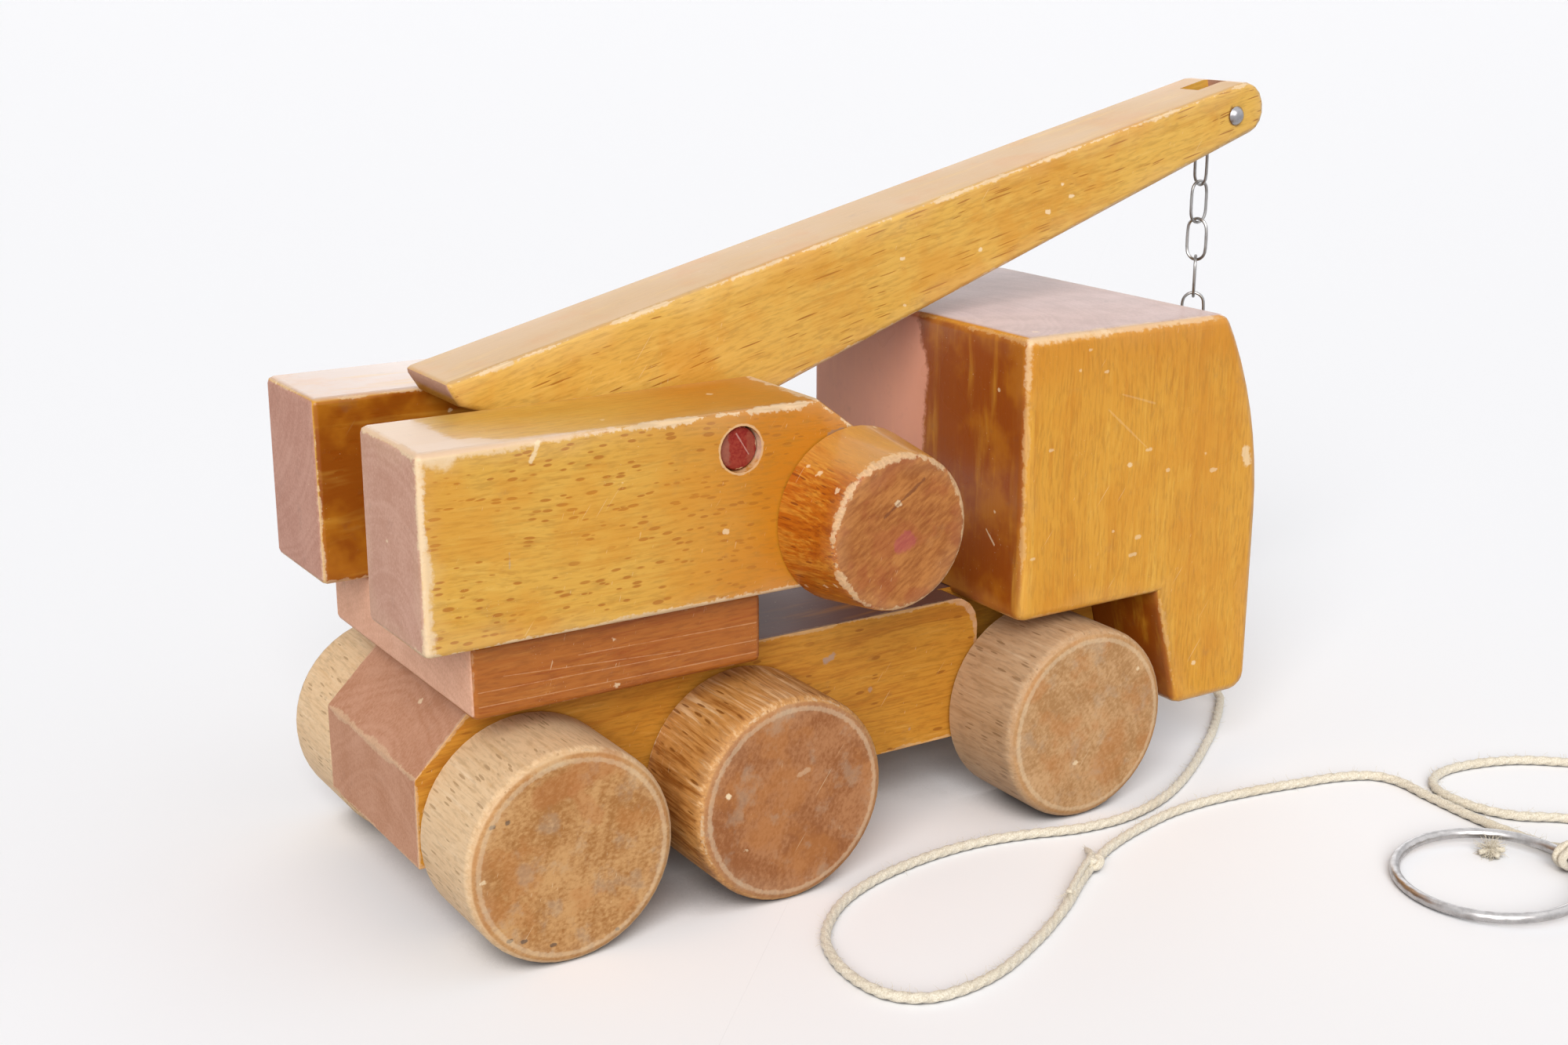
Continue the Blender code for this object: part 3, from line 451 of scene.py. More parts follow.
def along_grain(s, look, tones, bent, fine, cloud):
    """Colour along the grain, and how far each spot is a ray fleck."""
    dark, middle, light = tones
    band = look.band_mm
    broad = s.noise(bent, (BAND_STRETCH * band, band))
    tone = s.blend((broad, fine, cloud), TONE_SHARES)
    half = TONE_HALF / look.contrast
    body = s.mix(s.step(tone, TONE_MIDDLE - half, TONE_MIDDLE), dark, middle)
    body = s.mix(s.step(tone, TONE_MIDDLE, TONE_MIDDLE + half), body, light)
    for start, stop, amount, other in look.shades:
        run = Vector(stop) - Vector(start)
        along = s.vec("DOT_PRODUCT", s.vec("SUBTRACT", s.place, start), run)
        along = s.plus(s.math("DIVIDE", along, run.length_squared), s.sway(cloud, 0.3))
        body = s.mix(s.times(s.step(along, 0.0, 1.0), amount), body, other)
    hair = s.step(s.noise(bent, HAIR_MM, detail=2.0), 0.60, 0.72)
    body = s.mix(s.times(hair, 0.6 * look.lines), body, darker(dark, 0.4))
    grit = s.step(s.noise(bent, PORE_MM, detail=2.0, rough=0.6), 0.44, 0.70)
    body = s.mix(s.times(grit, look.grit), body, darker(dark, 0.6))
    dashes = 0.0
    if look.flecks:
        dashes = s.spots(bent, look.fleck_size, 0.36, look.flecks)
        dashes = s.times(dashes, s.step(s.noise(s.grain, CROWD_MM, detail=1.0), 0.32, 0.46))
        if look.fleck_face:
            dashes = s.times(dashes, s.step(s.facing(look.fleck_face), 0.6, 0.85))
        body = s.mix(s.times(dashes, 0.9), body, look.fleck_tone)
    # Faces that look one way take another tone: on some pieces this is painted shade or painted light
    for normal, amount, other in look.faces:
        patchy = s.step(s.noise(bent, PATCH_MM), 0.15, 0.5)
        on_face = s.step(s.toward(normal), 0.6, 0.9)
        body = s.mix(s.times(on_face, s.times(patchy, amount)), body, other)
    return body, dashes


def across_grain(s, look, end_tones):
    """Colour of the end grain, from its rings, pores and blotches."""
    across = s.vec("MULTIPLY", s.vec("SUBTRACT", s.grain, look.pith), (0.0, 1.0, 1.0))
    ring_drift = s.times(s.noise(s.grain, RING_DRIFT_MM, detail=1.0), 7.0)
    ring_at = s.add("CombineXYZ", {0: s.plus(s.vec("LENGTH", across), ring_drift)}).outputs[0]
    rings = s.noise(ring_at, RING_MM, detail=1.0)
    pores = s.noise(s.grain, look.pores, detail=2.0, rough=0.65)
    shares = look.rings, look.speckle, look.blotch
    tone = s.blend((rings, pores, s.noise(s.grain, BLOTCH_MM)), shares)
    middle = 0.5 * sum(shares)
    half = END_HALF * sum(shares) / look.end_contrast
    return s.mix(s.step(tone, middle - half, middle + half), *end_tones)


def with_wear(s, look, body, bent, gap, spread, ragged):
    """The colour with its edges faded and worn bare, and how bare each spot is."""
    wear_mm, fade_mm, bare_tone = look.wear_mm, look.fade_mm, look.worn_tone
    fade = s.step(s.plus(gap, s.sway(spread, fade_mm)), fade_mm, 0.0)
    body = s.mix(s.times(fade, look.fade), body, bare_tone)
    reach = s.times(s.plus(0.35, s.step(spread, 0.36, 0.64)), wear_mm)
    worn = s.step(s.plus(gap, s.sway(ragged, 1.1 * wear_mm)), reach, s.times(reach, 0.65))
    worn = s.times(worn, look.wear)
    streaks = s.step(s.noise(bent, BARE_MM), 0.36, 0.66)
    return s.mix(worn, body, s.mix(streaks, bare_tone, darker(bare_tone, 0.80))), worn


def with_marks(s, look, body, spread, ragged):
    """The colour with scratches, nicks, single marks and grime, and how far each spot is scratched."""
    marks = s.either(*(s.scratches(*scratch, look.scratch) for scratch in SCRATCHES))
    bend = s.add("TexNoise", {"Vector": s.place, "Scale": 0.9}).outputs[1]
    crooked = s.vec("ADD", s.place, s.vec("SCALE", bend, scale=1.6))
    nicks = s.spots(crooked, NICK_CELL_MM, 0.15, look.chips)
    pale = s.either(s.times(marks, 0.35), s.times(nicks, 0.55))
    body = s.mix(pale, body, PALE_CHIP)
    for start, stop, half_width, amount, tone, *normal in look.strokes:
        mark = s.times(s.stroke(start, stop, half_width, ragged, spread), amount)
        if normal:
            mark = s.times(mark, s.step(s.toward(normal[0]), 0.3, 0.8))
        body = s.mix(mark, body, tone)
    for point, radius, half_width, amount, tone in look.hoops:
        off = s.math("ABSOLUTE", s.minus(s.radius_from(point), radius))
        hoop = s.step(s.plus(off, s.sway(ragged, half_width)), half_width, 0.4 * half_width)
        body = s.mix(s.times(hoop, amount), body, tone)
    grime = s.step(s.noise(s.place, GRIME_MM, detail=4.0, rough=0.7), 0.58, 0.76)
    return s.mix(s.times(grime, look.grime), body, DIRT), pale


def wood(name, turn, tones, end_tones, distances, **changes):
    """Beech under worn lacquer. tones run from dark to light along the grain, end_tones across it.
    distances is a function of the surface that lists its depths under the faces."""
    look = SimpleNamespace(**{**LACQUER, **changes})
    s = Surface(name, turn)
    drift = s.noise(s.grain, DRIFT_MM, detail=2.0)
    shift = s.add("CombineXYZ", {1: s.times(drift, 10.0), 2: s.times(drift, 7.0)}).outputs[0]
    bent = s.vec("ADD", s.grain, shift)
    fine = s.noise(bent, STREAK_MM, rough=0.6)
    cloud = s.noise(s.grain, CLOUD_MM, detail=2.0)
    spread = s.noise(s.place, SPREAD_MM, detail=2.0)
    ragged = s.noise(s.place, RAGGED_MM, rough=0.65)
    body, dashes = along_grain(s, look, tones, bent, fine, cloud)
    end = s.step(s.facing(s.grain_axis), look.end_sharp, min(look.end_sharp + 0.15, 1.0))
    body = s.mix(end, body, across_grain(s, look, end_tones))
    for size, start, stop, amount, stain, ends_only in look.stains:
        share = s.times(s.step(s.noise(s.place, size, detail=4.0, rough=0.62), start, stop), amount)
        body = s.mix(s.times(share, end if ends_only else s.minus(1.0, end)), body, stain)
    body, worn = with_wear(s, look, body, bent, s.edge(distances(s)), spread, ragged)
    body, pale = with_marks(s, look, body, spread, ragged)

    bare = s.either(worn, end)
    rough = s.plus(look.roughness, s.times(bare, 0.24), s.sway(cloud, 0.10))
    polish = s.plus(look.coat, s.times(s.step(s.toward(UP), 0.7, 0.95), look.gloss_top))
    coat = s.times(s.minus(1.0, s.times(bare, 0.85)), polish)
    relief = s.plus(s.times(fine, 0.45), s.times(ragged, s.plus(s.times(worn, 0.8), 0.12)))
    relief = s.minus(relief, s.times(s.either(dashes, pale), 0.35))
    s.bump(relief, 0.5, 0.15)
    return s.finish(body, rough, coat=coat, coat_roughness=0.12, specular=0.22)


def paint(material, *names):
    for name in names:
        slots = NODES[name].data.materials
        slots.clear()
        slots.append(material)


def box_mm(node):
    """Lowest and highest corner of a node, in mm."""
    return [TO_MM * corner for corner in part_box(node)]


def box_distances(node):
    return lambda s: s.box_faces(*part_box(node))


def cheek_distances(node):
    def distances(s):
        low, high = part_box(node)
        long, deep = CHEEK_CLIP_MM
        clip = s.plane((deep, 0.0, long), (high.x, high.y, high.z - deep * MM))
        return s.box_faces(low, high) + [clip]
    return distances


def cab_distances(s):
    low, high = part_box("cab_block")
    bulge, bulge_h = CAB_BULGE
    bulge_r = (bulge_h ** 2 + bulge ** 2) / (2 * bulge)
    away = s.vec("SUBTRACT", s.place, (TO_MM * (high.x - bulge_r), 0.0, TO_MM * (high.z - bulge_h)))
    parts = s.add("SeparateXYZ", {0: away}).outputs
    above = s.math("MAXIMUM", parts[2], 0.0)
    reach = s.math("SQRT", s.plus(s.times(parts[0], parts[0]), s.times(above, above)))
    front = s.minus(bulge_r * TO_MM, reach)
    lean, leg_h = CAB_LEG_MM
    under = s.plane((0.0, 0.0, -1.0), CAB_ARCH)
    leg = s.plane((-leg_h, 0.0, -lean), CAB_ARCH)
    return [front, s.math("MAXIMUM", under, leg)] + s.box_faces(low, high)[1:]


def boom_distances(s):
    low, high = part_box("boom")
    slope = BOOM_TILT + BOOM_TAPER
    return [s.plane(BOOM_UP, BOOM_PIVOT + BOOM_UP * BOOM_ABOVE),
            s.plane((sin(slope), 0.0, -cos(slope)), BOOM_PIVOT - BOOM_UP * BOOM_BELOW),
            s.plane(TO_RIGHT, low), s.plane(TO_LEFT, high),
            s.plane(-BOOM_ALONG, BOOM_PIVOT - BOOM_ALONG * BOOM_BEHIND),
            s.plane(BOOM_ALONG, BOOM_PIVOT + BOOM_ALONG * BOOM_AHEAD)]


def chassis_distances(s):
    low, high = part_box("chassis_beam")
    chamfer = s.plane((-1.0, 0.0, 1.0), (low.x, 0.0, high.z - CHASSIS_CHAMFER_MM * MM))
    return s.box_faces(low, high) + [chamfer]


def wheel_distances(axle):
    def distances(s):
        inner, outer = WHEEL_FACES_MM
        radius = s.radius_from((AXLES[axle], 0.0, AXLE_Z))
        off = s.math("ABSOLUTE", s.minus(s.y_place(), TO_MM * TRUCK.y))
        return [s.minus(WHEEL_R_MM, radius), s.minus(outer, off),
                s.minus(off, inner)]
    return distances


def knob_distances(s):
    root, face = KNOB_Y_MM
    y = s.y_place()
    cone = s.plus(KNOB_R_MM, s.times(s.minus(y, root), KNOB_TAPER_MM / (root - face)))
    return [s.minus(cone, s.radius_from(KNOB_AXIS)), s.minus(y, face)]


WELD_REACH = 2e-6
SHARP_ANGLE = radians(50.0)


def smoothing_group():
    """Welds a CAD mesh and shades it smooth, with sharp edges kept."""
    group = bpy.data.node_groups.new("smooth_by_angle", "GeometryNodeTree")
    for way in ("INPUT", "OUTPUT"):
        group.interface.new_socket("Geometry", in_out=way, socket_type="NodeSocketGeometry")
    nodes, links = group.nodes, group.links
    weld = nodes.new("GeometryNodeMergeByDistance")
    weld.inputs["Distance"].default_value = WELD_REACH
    bare = nodes.new("GeometryNodeRemoveAttribute")
    bare.inputs["Name"].default_value = "custom_normal"
    faces = nodes.new("GeometryNodeSetShadeSmooth")
    edges = nodes.new("GeometryNodeSetShadeSmooth")
    edges.domain = "EDGE"
    edges.inputs["Shade Smooth"].default_value = False
    angle = nodes.new("GeometryNodeInputMeshEdgeAngle")
    sharp = nodes.new("ShaderNodeMath")
    sharp.operation = "GREATER_THAN"
    sharp.inputs[1].default_value = SHARP_ANGLE
    links.new(angle.outputs["Unsigned Angle"], sharp.inputs[0])
    links.new(sharp.outputs[0], edges.inputs["Selection"])
    steps = [nodes.new("NodeGroupInput"), weld, bare, faces, edges, nodes.new("NodeGroupOutput")]
    for before, after in zip(steps, steps[1:]):
        links.new(before.outputs["Geometry"], after.inputs["Geometry"])
    return group


def smooth_nodes():
    group = smoothing_group()
    for name, node in NODES.items():
        modifier = node.modifiers.new("smooth", "NODES")
        modifier.node_group = group
        if name.startswith("chain_link") or name in ("crane_hook", "pull_ring"):
            rounder = node.modifiers.new("rounder", "SUBSURF")
            rounder.levels = 1
            rounder.render_levels = 1
        else:
            weighted = node.modifiers.new("weighted", "WEIGHTED_NORMAL")
            weighted.keep_sharp = True


AMBER = ((0.57, 0.27, 0.034), (0.655, 0.36, 0.058), (0.71, 0.43, 0.09))
ORANGE = ((0.56, 0.23, 0.017), (0.64, 0.30, 0.030), (0.69, 0.36, 0.048))
# Pinkish end grain: partly the wood's own tone, partly a painted reflection of the bright room. DIM_END is a
# darker copy of it.
PINK_END = ((0.48, 0.25, 0.17), (0.59, 0.34, 0.25))
DIM_END = ((0.42, 0.20, 0.14), (0.53, 0.285, 0.21))
PATCHES = [(24.0, 0.46, 0.64, 0.4, (0.60, 0.235, 0.014), False)]
# Cream for the right cheek's top: partly worn lacquer, partly a painted highlight
CREAM_TOP = (0.72, 0.50, 0.33)
SCUFF = (0.36, 0.29, 0.27)
CHIP_MM = 0.55


def marks_at(places, half_width, amount, tone, length=0.0):
    """Small marks, as points or as short dashes along X."""
    return [(place, (place[0] + length * (0.2 + 0.4 * (number % 3)), *place[1:]), half_width, amount, tone)
            for number, place in enumerate(places)]


def dress_cheeks():
    low, high = box_mm("right_cheek")
    x, y, z = corner = (low.x, low.y, high.z)
    strokes = [
        (corner, (x, y, low.z), 2.3, 0.8, CREAM, TO_RIGHT),
        (corner, (x + 6.0, y, z), 3.6, 0.75, CREAM, TO_RIGHT),
        (corner, (x + 26.0, y, z), 2.0, 0.7, CREAM),
        ((x + 26.0, y, z), (x + 46.0, y, z), 1.2, 0.6, CREAM),
        # Broad cream patches on the top near its rear corner: partly worn lacquer, partly a painted highlight
        ((x + 2.0, y + 4.0, z), (x + 2.0, y + 30.0, z), 11.0, 0.85, CREAM_TOP, UP),
        ((x + 2.0, y + 2.0, z), (x + 13.0, y, z), 8.0, 0.85, CREAM_TOP, UP),
        ((x + 13.0, y, z), (x + 30.0, y, z), 4.0, 0.75, CREAM_TOP, UP),
        ((x + 30.0, y, z), (x + 44.0, y, z), 2.0, 0.6, CREAM_TOP, UP),
        ((-104.4, y, 115.9), (-106.4, y, 112.0), 0.6, 0.6, PALE_CHIP),
        ((-111.9, y, 93.2), (-112.0, y, 89.8), 0.3, 0.4, (0.40, 0.33, 0.26)),
        ((-32.3, y, 108.0), (-28.7, y, 109.0), 0.9, 0.5, (0.25, 0.20, 0.17)),
    ]
    rim = [(BOOM_PIVOT, 5.5, 0.4, 0.45, CREAM)]
    deeper = [((-95.0, y, 90.0), (-40.0, y, 95.0), 0.9, (0.52, 0.175, 0.008))]
    paint(wood("cheek_right", ALONG_X, AMBER, PINK_END, cheek_distances("right_cheek"), flecks=0.8, lines=0.15,
               fleck_face=TO_LEFT, fleck_size=(4.2, 1.25), fleck_tone=(0.41, 0.15, 0.014), contrast=0.75,
               pith=(0.0, -22.0, 70.0), strokes=strokes, hoops=rim, shades=deeper, stains=PATCHES,
               wear_mm=1.3, gloss_top=0.1), "right_cheek")
    # The second tone paints the cheek's face towards the slot deep brown: painted shade inside the slot
    faces = [(UP, 0.95, (0.56, 0.385, 0.285)), (TO_RIGHT, 0.97, (0.25, 0.055, 0.002))]
    paint(wood("cheek_left", ALONG_X, AMBER, DIM_END, cheek_distances("left_cheek"), flecks=0.5, lines=0.5,
               fleck_face=TO_LEFT, contrast=0.75, wear_mm=0.9, wear=0.5, fade=0.0, pith=(0.0, 60.0, 120.0),
               faces=faces, stains=PATCHES, gloss_top=0.3), "left_cheek")


def dress_boom():
    y = box_mm("boom")[0].y
    chips = marks_at([(61.3, y, 155.5), (56.4, y, 148.8), (64.0, y, 152.3), (35.2, y, 140.8), (10.9, y, 140.3)],
                     CHIP_MM, 0.7, PALE_CHIP, 1.2)
    boom_tones = ((0.59, 0.30, 0.046), (0.69, 0.40, 0.076), (0.77, 0.49, 0.12))
    pin_stain = [(TIP_PIN, 2.0, 1.0, 0.75, (0.16, 0.06, 0.03))]
    paint(wood("boom_wood", ALONG_BOOM, boom_tones, PINK_END, boom_distances, wear_mm=1.0, flecks=0.35,
               fleck_size=(13.0, 0.6), fleck_face=TO_LEFT, fleck_tone=(0.34, 0.13, 0.015), lines=0.2,
               contrast=0.75, stains=PATCHES, strokes=chips, hoops=pin_stain,
               faces=[(BOOM_UP, 0.9, (0.55, 0.31, 0.10))]), "boom")


def dress_cab():
    low, high = box_mm("cab_block")
    x, y, top = low.x, low.y, high.z
    side = [(39.9, 115.2), (48.0, 114.0), (62.9, 92.3), (70.4, 86.1), (61.0, 69.7), (59.3, 65.3), (42.9, 120.0),
            (26.9, 69.4), (85.8, 83.9), (53.2, 72.5), (31.6, 96.3)]
    strokes = marks_at([(along, y, up) for along, up in side], CHIP_MM, 0.4, PALE_CHIP, 1.6)
    strokes += marks_at([(x, -30.2, 110.3), (x, -30.0, 79.4)], 0.5, 0.6, PALE_CHIP)
    strokes += [
        ((97.6, y, 87.5), (98.6, y, 84.5), 1.7, 0.55, PALE_CHIP),
        ((54.1, y, 107.7), (64.9, y, 104.2), 0.3, 0.12, PALE_CHIP),
        ((49.9, y, 104.2), (62.8, y, 93.2), 0.25, 0.12, PALE_CHIP),
        ((x, -26.9, 74.1), (x, -30.2, 70.9), 0.35, 0.6, PALE_CHIP),
        ((x + 1.0, y + 1.0, top), (x + 24.0, y + 1.0, top), 2.8, 0.6, CREAM),
        ((x + 24.0, y + 1.0, top), (x + 60.0, y + 1.0, top), 1.6, 0.5, CREAM),
        ((x + 1.0, y + 1.0, top), (x + 1.0, y + 1.0, top - 12.0), 1.3, 0.35, CREAM),
        # Pale pink patch on the far half of the rear face: painted reflection of the bright room in the lacquer
        ((x, 32.0, 66.0), (x, 32.0, 108.0), 33.0, 0.8, (0.84, 0.40, 0.265), TO_REAR),
    ]
    deeper = [((x, y, 103.0), (x, y, 124.0), 0.5, (0.54, 0.19, 0.010))]
    # The roof is end grain; its grey-pink tones are partly the wood and partly a painted reflection of the pale
    # room
    top_tones = ((0.50, 0.355, 0.325), (0.605, 0.445, 0.415))
    paint(wood("cab_wood", ALONG_Z, ORANGE, top_tones, cab_distances, wear_mm=1.3, wear=0.45,
               worn_tone=(0.76, 0.47, 0.20), lines=0.15, scratch=0.15, strokes=strokes, shades=deeper,
               # The rear face is painted dark brown: painted shade where the crane stands in front of it
               faces=[(TO_REAR, 0.95, (0.285, 0.058, 0.004))], stains=PATCHES, roughness=0.3, gloss_top=1.0,
               speckle=0.2, rings=0.15, end_sharp=0.9), "cab_block")


def dress_base():
    y = box_mm("chassis_beam")[0].y
    nose = [(17.6, y, 55.0), (21.6, y, 53.6), (24.3, y, 51.0), (25.6, y, 47.0), (26.2, y, 40.0)]
    strokes = [(start, stop, 1.0, 0.6, (0.62, 0.36, 0.20)) for start, stop in zip(nose, nose[1:])]
    strokes += [((-20.5, y, 46.0), (-18.5, y, 46.6), 1.1, 0.6, SCUFF)]
    strokes += marks_at([(5.4, y, 22.5), (-6.9, y, 35.7)], 0.7, 0.4, SCUFF)
    paint(wood("chassis_wood", ALONG_X, ((0.46, 0.172, 0.018), (0.57, 0.25, 0.029), (0.63, 0.305, 0.052)),
               ((0.43, 0.20, 0.11), (0.54, 0.285, 0.18)), chassis_distances, wear_mm=0.8, wear=0.35, fade=0.0,
               flecks=0.15, fleck_face=TO_LEFT, end_sharp=0.55, strokes=strokes, roughness=0.5, coat=0.0,
               # The chassis top is painted near black: painted shade between the plate and the cab
               faces=[(UP, 0.95, (0.13, 0.06, 0.05))]), "chassis_beam")
    low, high = box_mm("turntable_plate")
    reach = high.x - low.x
    # Saw lines: share of the length and height (mm) at their start and at their end
    lines = [(0.0, 58.6, 1.0, 58.1), (0.0, 61.9, 1.0, 61.0), (0.1, 64.6, 0.7, 62.1), (0.35, 66.0, 1.0, 65.2)]
    strokes = [((low.x + first * reach, low.y, start), (low.x + last * reach, low.y, stop), 0.13, 0.4,
                (0.66, 0.36, 0.18)) for first, start, last, stop in lines]
    paint(wood("plate_wood", ALONG_X, ((0.32, 0.08, 0.010), (0.385, 0.12, 0.018), (0.44, 0.165, 0.032)),
               ((0.62, 0.325, 0.205), (0.75, 0.43, 0.29)), box_distances("turntable_plate"), wear_mm=0.8,
               wear=0.2, fade=0.0, scratch=0.5, strokes=strokes), "turntable_plate")


def dress_dowels():
    plain = wood("plain_dowel_wood", ALONG_X, ((0.5, 0.32, 0.16), (0.64, 0.44, 0.25), (0.74, 0.54, 0.33)),
                 ((0.5, 0.32, 0.16), (0.66, 0.46, 0.27)), box_distances("turntable_peg"), wear=0.0, fade=0.0,
                 roughness=0.6, coat=0.0)
    paint(plain, *(name for name in NODES if name.endswith(("dowel", "axle", "peg"))))
    x, _, z = TO_MM * BOOM_PIVOT
    y = box_mm("boom_pivot_dowel")[0].y
    strokes = [((x - 3.6, y, z - 3.0), (x - 3.4, y, z + 2.4), 1.4, 0.45, (0.33, 0.17, 0.11)),
               ((x + 3.2, y, z - 3.0), (x + 3.0, y, z + 3.0), 1.3, 0.3, (0.36, 0.13, 0.07)),
               ((x - 0.5, y, z + 3.4), (x + 2.6, y, z - 1.6), 0.2, 0.5, (0.62, 0.36, 0.30))]
    red = wood("red_dowel_wood", ALONG_Y, ((0.30, 0.03, 0.025), (0.42, 0.06, 0.04), (0.50, 0.13, 0.09)),
               ((0.22, 0.013, 0.010), (0.33, 0.05, 0.028)), box_distances("boom_pivot_dowel"), wear_mm=0.6,
               fade=0.0, roughness=0.6, coat=0.0, strokes=strokes)
    paint(red, "boom_pivot_dowel", "knob_axle")
    paint(wood("cam_wood", ALONG_X, AMBER, PINK_END, box_distances("lifting_cam"), wear_mm=0.8), "lifting_cam")


def dress_wheels():
    y = box_mm("rear_right_wheel")[0].y
    orange = (11.0, 0.48, 0.64, 0.45, (0.44, 0.17, 0.045), True)
    grey = (7.0, 0.52, 0.68, 0.3, (0.47, 0.36, 0.25), True)
    rear_marks = marks_at([(-118.4, y, 36.9), (-122.0, y, 36.7), (-109.0, y, 5.8), (-93.0, y, 5.2),
                           (-119.1, y, 9.5), (-115.8, y, 8.5)], CHIP_MM, 0.7, (0.07, 0.055, 0.05), 0.8)
    # Two broad dark orange patches high on the wheel's face: painted shade under the plate
    rear_marks += [((-109.0, y, 41.0), (-94.5, y, 45.2), 4.5, 0.45, (0.40, 0.14, 0.04)),
                   ((-102.0, y, 40.0), (-97.5, y, 33.5), 3.0, 0.35, (0.42, 0.15, 0.045)),
                   ((-113.9, y, 47.0), (-106.0, y, 48.0), 1.6, 0.35, (0.62, 0.47, 0.28))]
    middle_marks = marks_at([(-64.2, y, 30.1)], 0.9, 0.8, PALE_CHIP)
    middle_marks += [((-45.0, y, 31.2), (-42.6, y, 31.9), 0.8, 0.4, (0.66, 0.46, 0.28))]
    # For each axle: tones of tread and face, marks, contrast of the tread, turn of the grain on the face
    looks = {
        "rear": (((0.60, 0.38, 0.19), (0.72, 0.50, 0.29), (0.80, 0.60, 0.39)),
                 ((0.345, 0.15, 0.042), (0.545, 0.30, 0.12)), rear_marks, 0.7, 0.3),
        "middle": (((0.30, 0.10, 0.014), (0.55, 0.26, 0.07), (0.76, 0.50, 0.26)),
                   ((0.27, 0.097, 0.032), (0.405, 0.18, 0.075)), middle_marks, 1.0, 1.1),
        "front": (((0.37, 0.215, 0.103), (0.49, 0.31, 0.172), (0.585, 0.413, 0.258)),
                  ((0.37, 0.19, 0.072), (0.54, 0.318, 0.152)), (), 0.8, 0.7),
    }
    for axle, (tones, end_tones, strokes, contrast, twist) in looks.items():
        centre = (AXLES[axle], 0.0, AXLE_Z)
        rims = [(centre, 22.4, 0.8, 0.3, (0.76, 0.60, 0.40)), (centre, 23.8, 1.1, 0.3, (0.46, 0.22, 0.07))]
        paint(wood(axle + "_wheel_wood", (0.0, twist, ALONG_Y[2]), tones, end_tones, wheel_distances(axle),
                   wear_mm=0.9, flecks=0.4, fleck_size=(6.0, 0.9), fleck_tone=darker(tones[0], 0.7), lines=0.25,
                   roughness=0.55, coat=0.0, worn_tone=(0.72, 0.55, 0.36), speckle=0.6, blotch=0.6, band_mm=2.2,
                   pores=(2.5, 1.2, 0.8), end_contrast=1.4, contrast=contrast, stains=(orange, grey),
                   strokes=strokes, hoops=rims), axle + "_right_wheel", axle + "_left_wheel")


def dress_knob():
    y = box_mm("knob")[0].y
    strokes = [((-26.0, y, 86.0), (-24.0, y, 87.0), 2.4, 0.4, (0.42, 0.06, 0.10)),
               ((-19.8, y, 100.5), (-30.3, y, 93.3), 0.5, 0.6, (0.14, 0.04, 0.015))]
    stains = [(8.0, 0.48, 0.62, 0.4, (0.30, 0.065, 0.02), True)]
    side_tones = ((0.31, 0.062, 0.003), (0.44, 0.115, 0.006), (0.56, 0.22, 0.024))
    paint(wood("knob_wood", (0.0, 0.6, ALONG_Y[2]), side_tones, ((0.27, 0.08, 0.016), (0.46, 0.18, 0.045)),
               knob_distances, wear_mm=1.5, flecks=0.4, chips=0.3, fleck_size=(7.0, 0.9),
               fleck_tone=(0.22, 0.05, 0.006), lines=0.8, worn_tone=(0.70, 0.46, 0.25), roughness=0.34,
               coat=0.2, speckle=0.7, blotch=0.5, pores=(2.5, 3.0, 0.8), end_contrast=1.1, strokes=strokes,
               # The knob's upper side is painted lighter and yellower: painted light from above
               contrast=1.3, faces=[(UP, 0.7, (0.62, 0.31, 0.065))], stains=stains), "knob")


def steel(name, tone, rust, roughness):
    """Handled wire: fine streaks, dull patches and a little brown in places."""
    s = Surface(name)
    dull = s.noise(s.place, 3.0, detail=4.0, rough=0.65)
    streak = s.noise(s.place, (0.5, 0.5, 4.0), detail=2.0)
    body = s.mix(s.step(dull, 0.38, 0.66), tone, darker(tone, 0.75))
    body = s.mix(s.times(s.step(dull, 0.55, 0.72), rust), body, (0.20, 0.10, 0.05))
    rough = s.plus(roughness, s.sway(dull, 0.2))
    s.bump(streak, 0.1, 0.03)
    return s.finish(body, rough, metallic=1.0)


def cotton(name, tone, shade):
    """Matt cotton yarn with fine fibres and a little dirt."""
    s = Surface(name)
    fibre = s.noise(s.place, 0.35, detail=4.0, rough=0.7)
    soil = s.noise(s.place, 16.0)
    body = s.mix(s.step(fibre, 0.34, 0.66), shade, tone)
    body = s.mix(s.times(s.step(soil, 0.50, 0.75), 0.35), body, (0.62, 0.52, 0.36))
    s.bump(fibre, 0.6, 0.12)
    s.shader.inputs["Sheen Weight"].default_value = 0.35
    s.shader.inputs["Sheen Roughness"].default_value = 0.5
    return s.finish(body, 0.9, specular=0.2)


# The cord's route, in millimetres of the truck's own frame, as in the CAD source
CORD_D_MM = 2.4
CORD_STEP_MM = 0.8
FINE_STEP_MM = 0.5
CORD_Z = 1.3
CAB_FRONT_MM = 206.7
CORD_ON_FLOOR = [
    (232.3, -12), (226.3, -18.2), (217.6, -25.8), (207, -34.2), (186, -48.6), (169, -57.6), (153, -61.8),
    (138, -61.2), (123, -56.6), (110, -54), (94.5, -54), (77.4, -57.2), (63.2, -63.5), (52.1, -73.6),
    (47.2, -84), (46, -94.6), (48, -103.2), (53.5, -108.6), (62, -110.2), (74.3, -108.3), (89.4, -101.8),
    (105.7, -92.5), (121.5, -81.5), (137, -73), (157, -67.2), (172, -65.6), (188, -67), (202.6, -69.6),
    (216, -72.6), (225, -77), (228, -84), (227, -94.6), (226.3, -109.2), (226.8, -121.3), (227.8, -130),
]
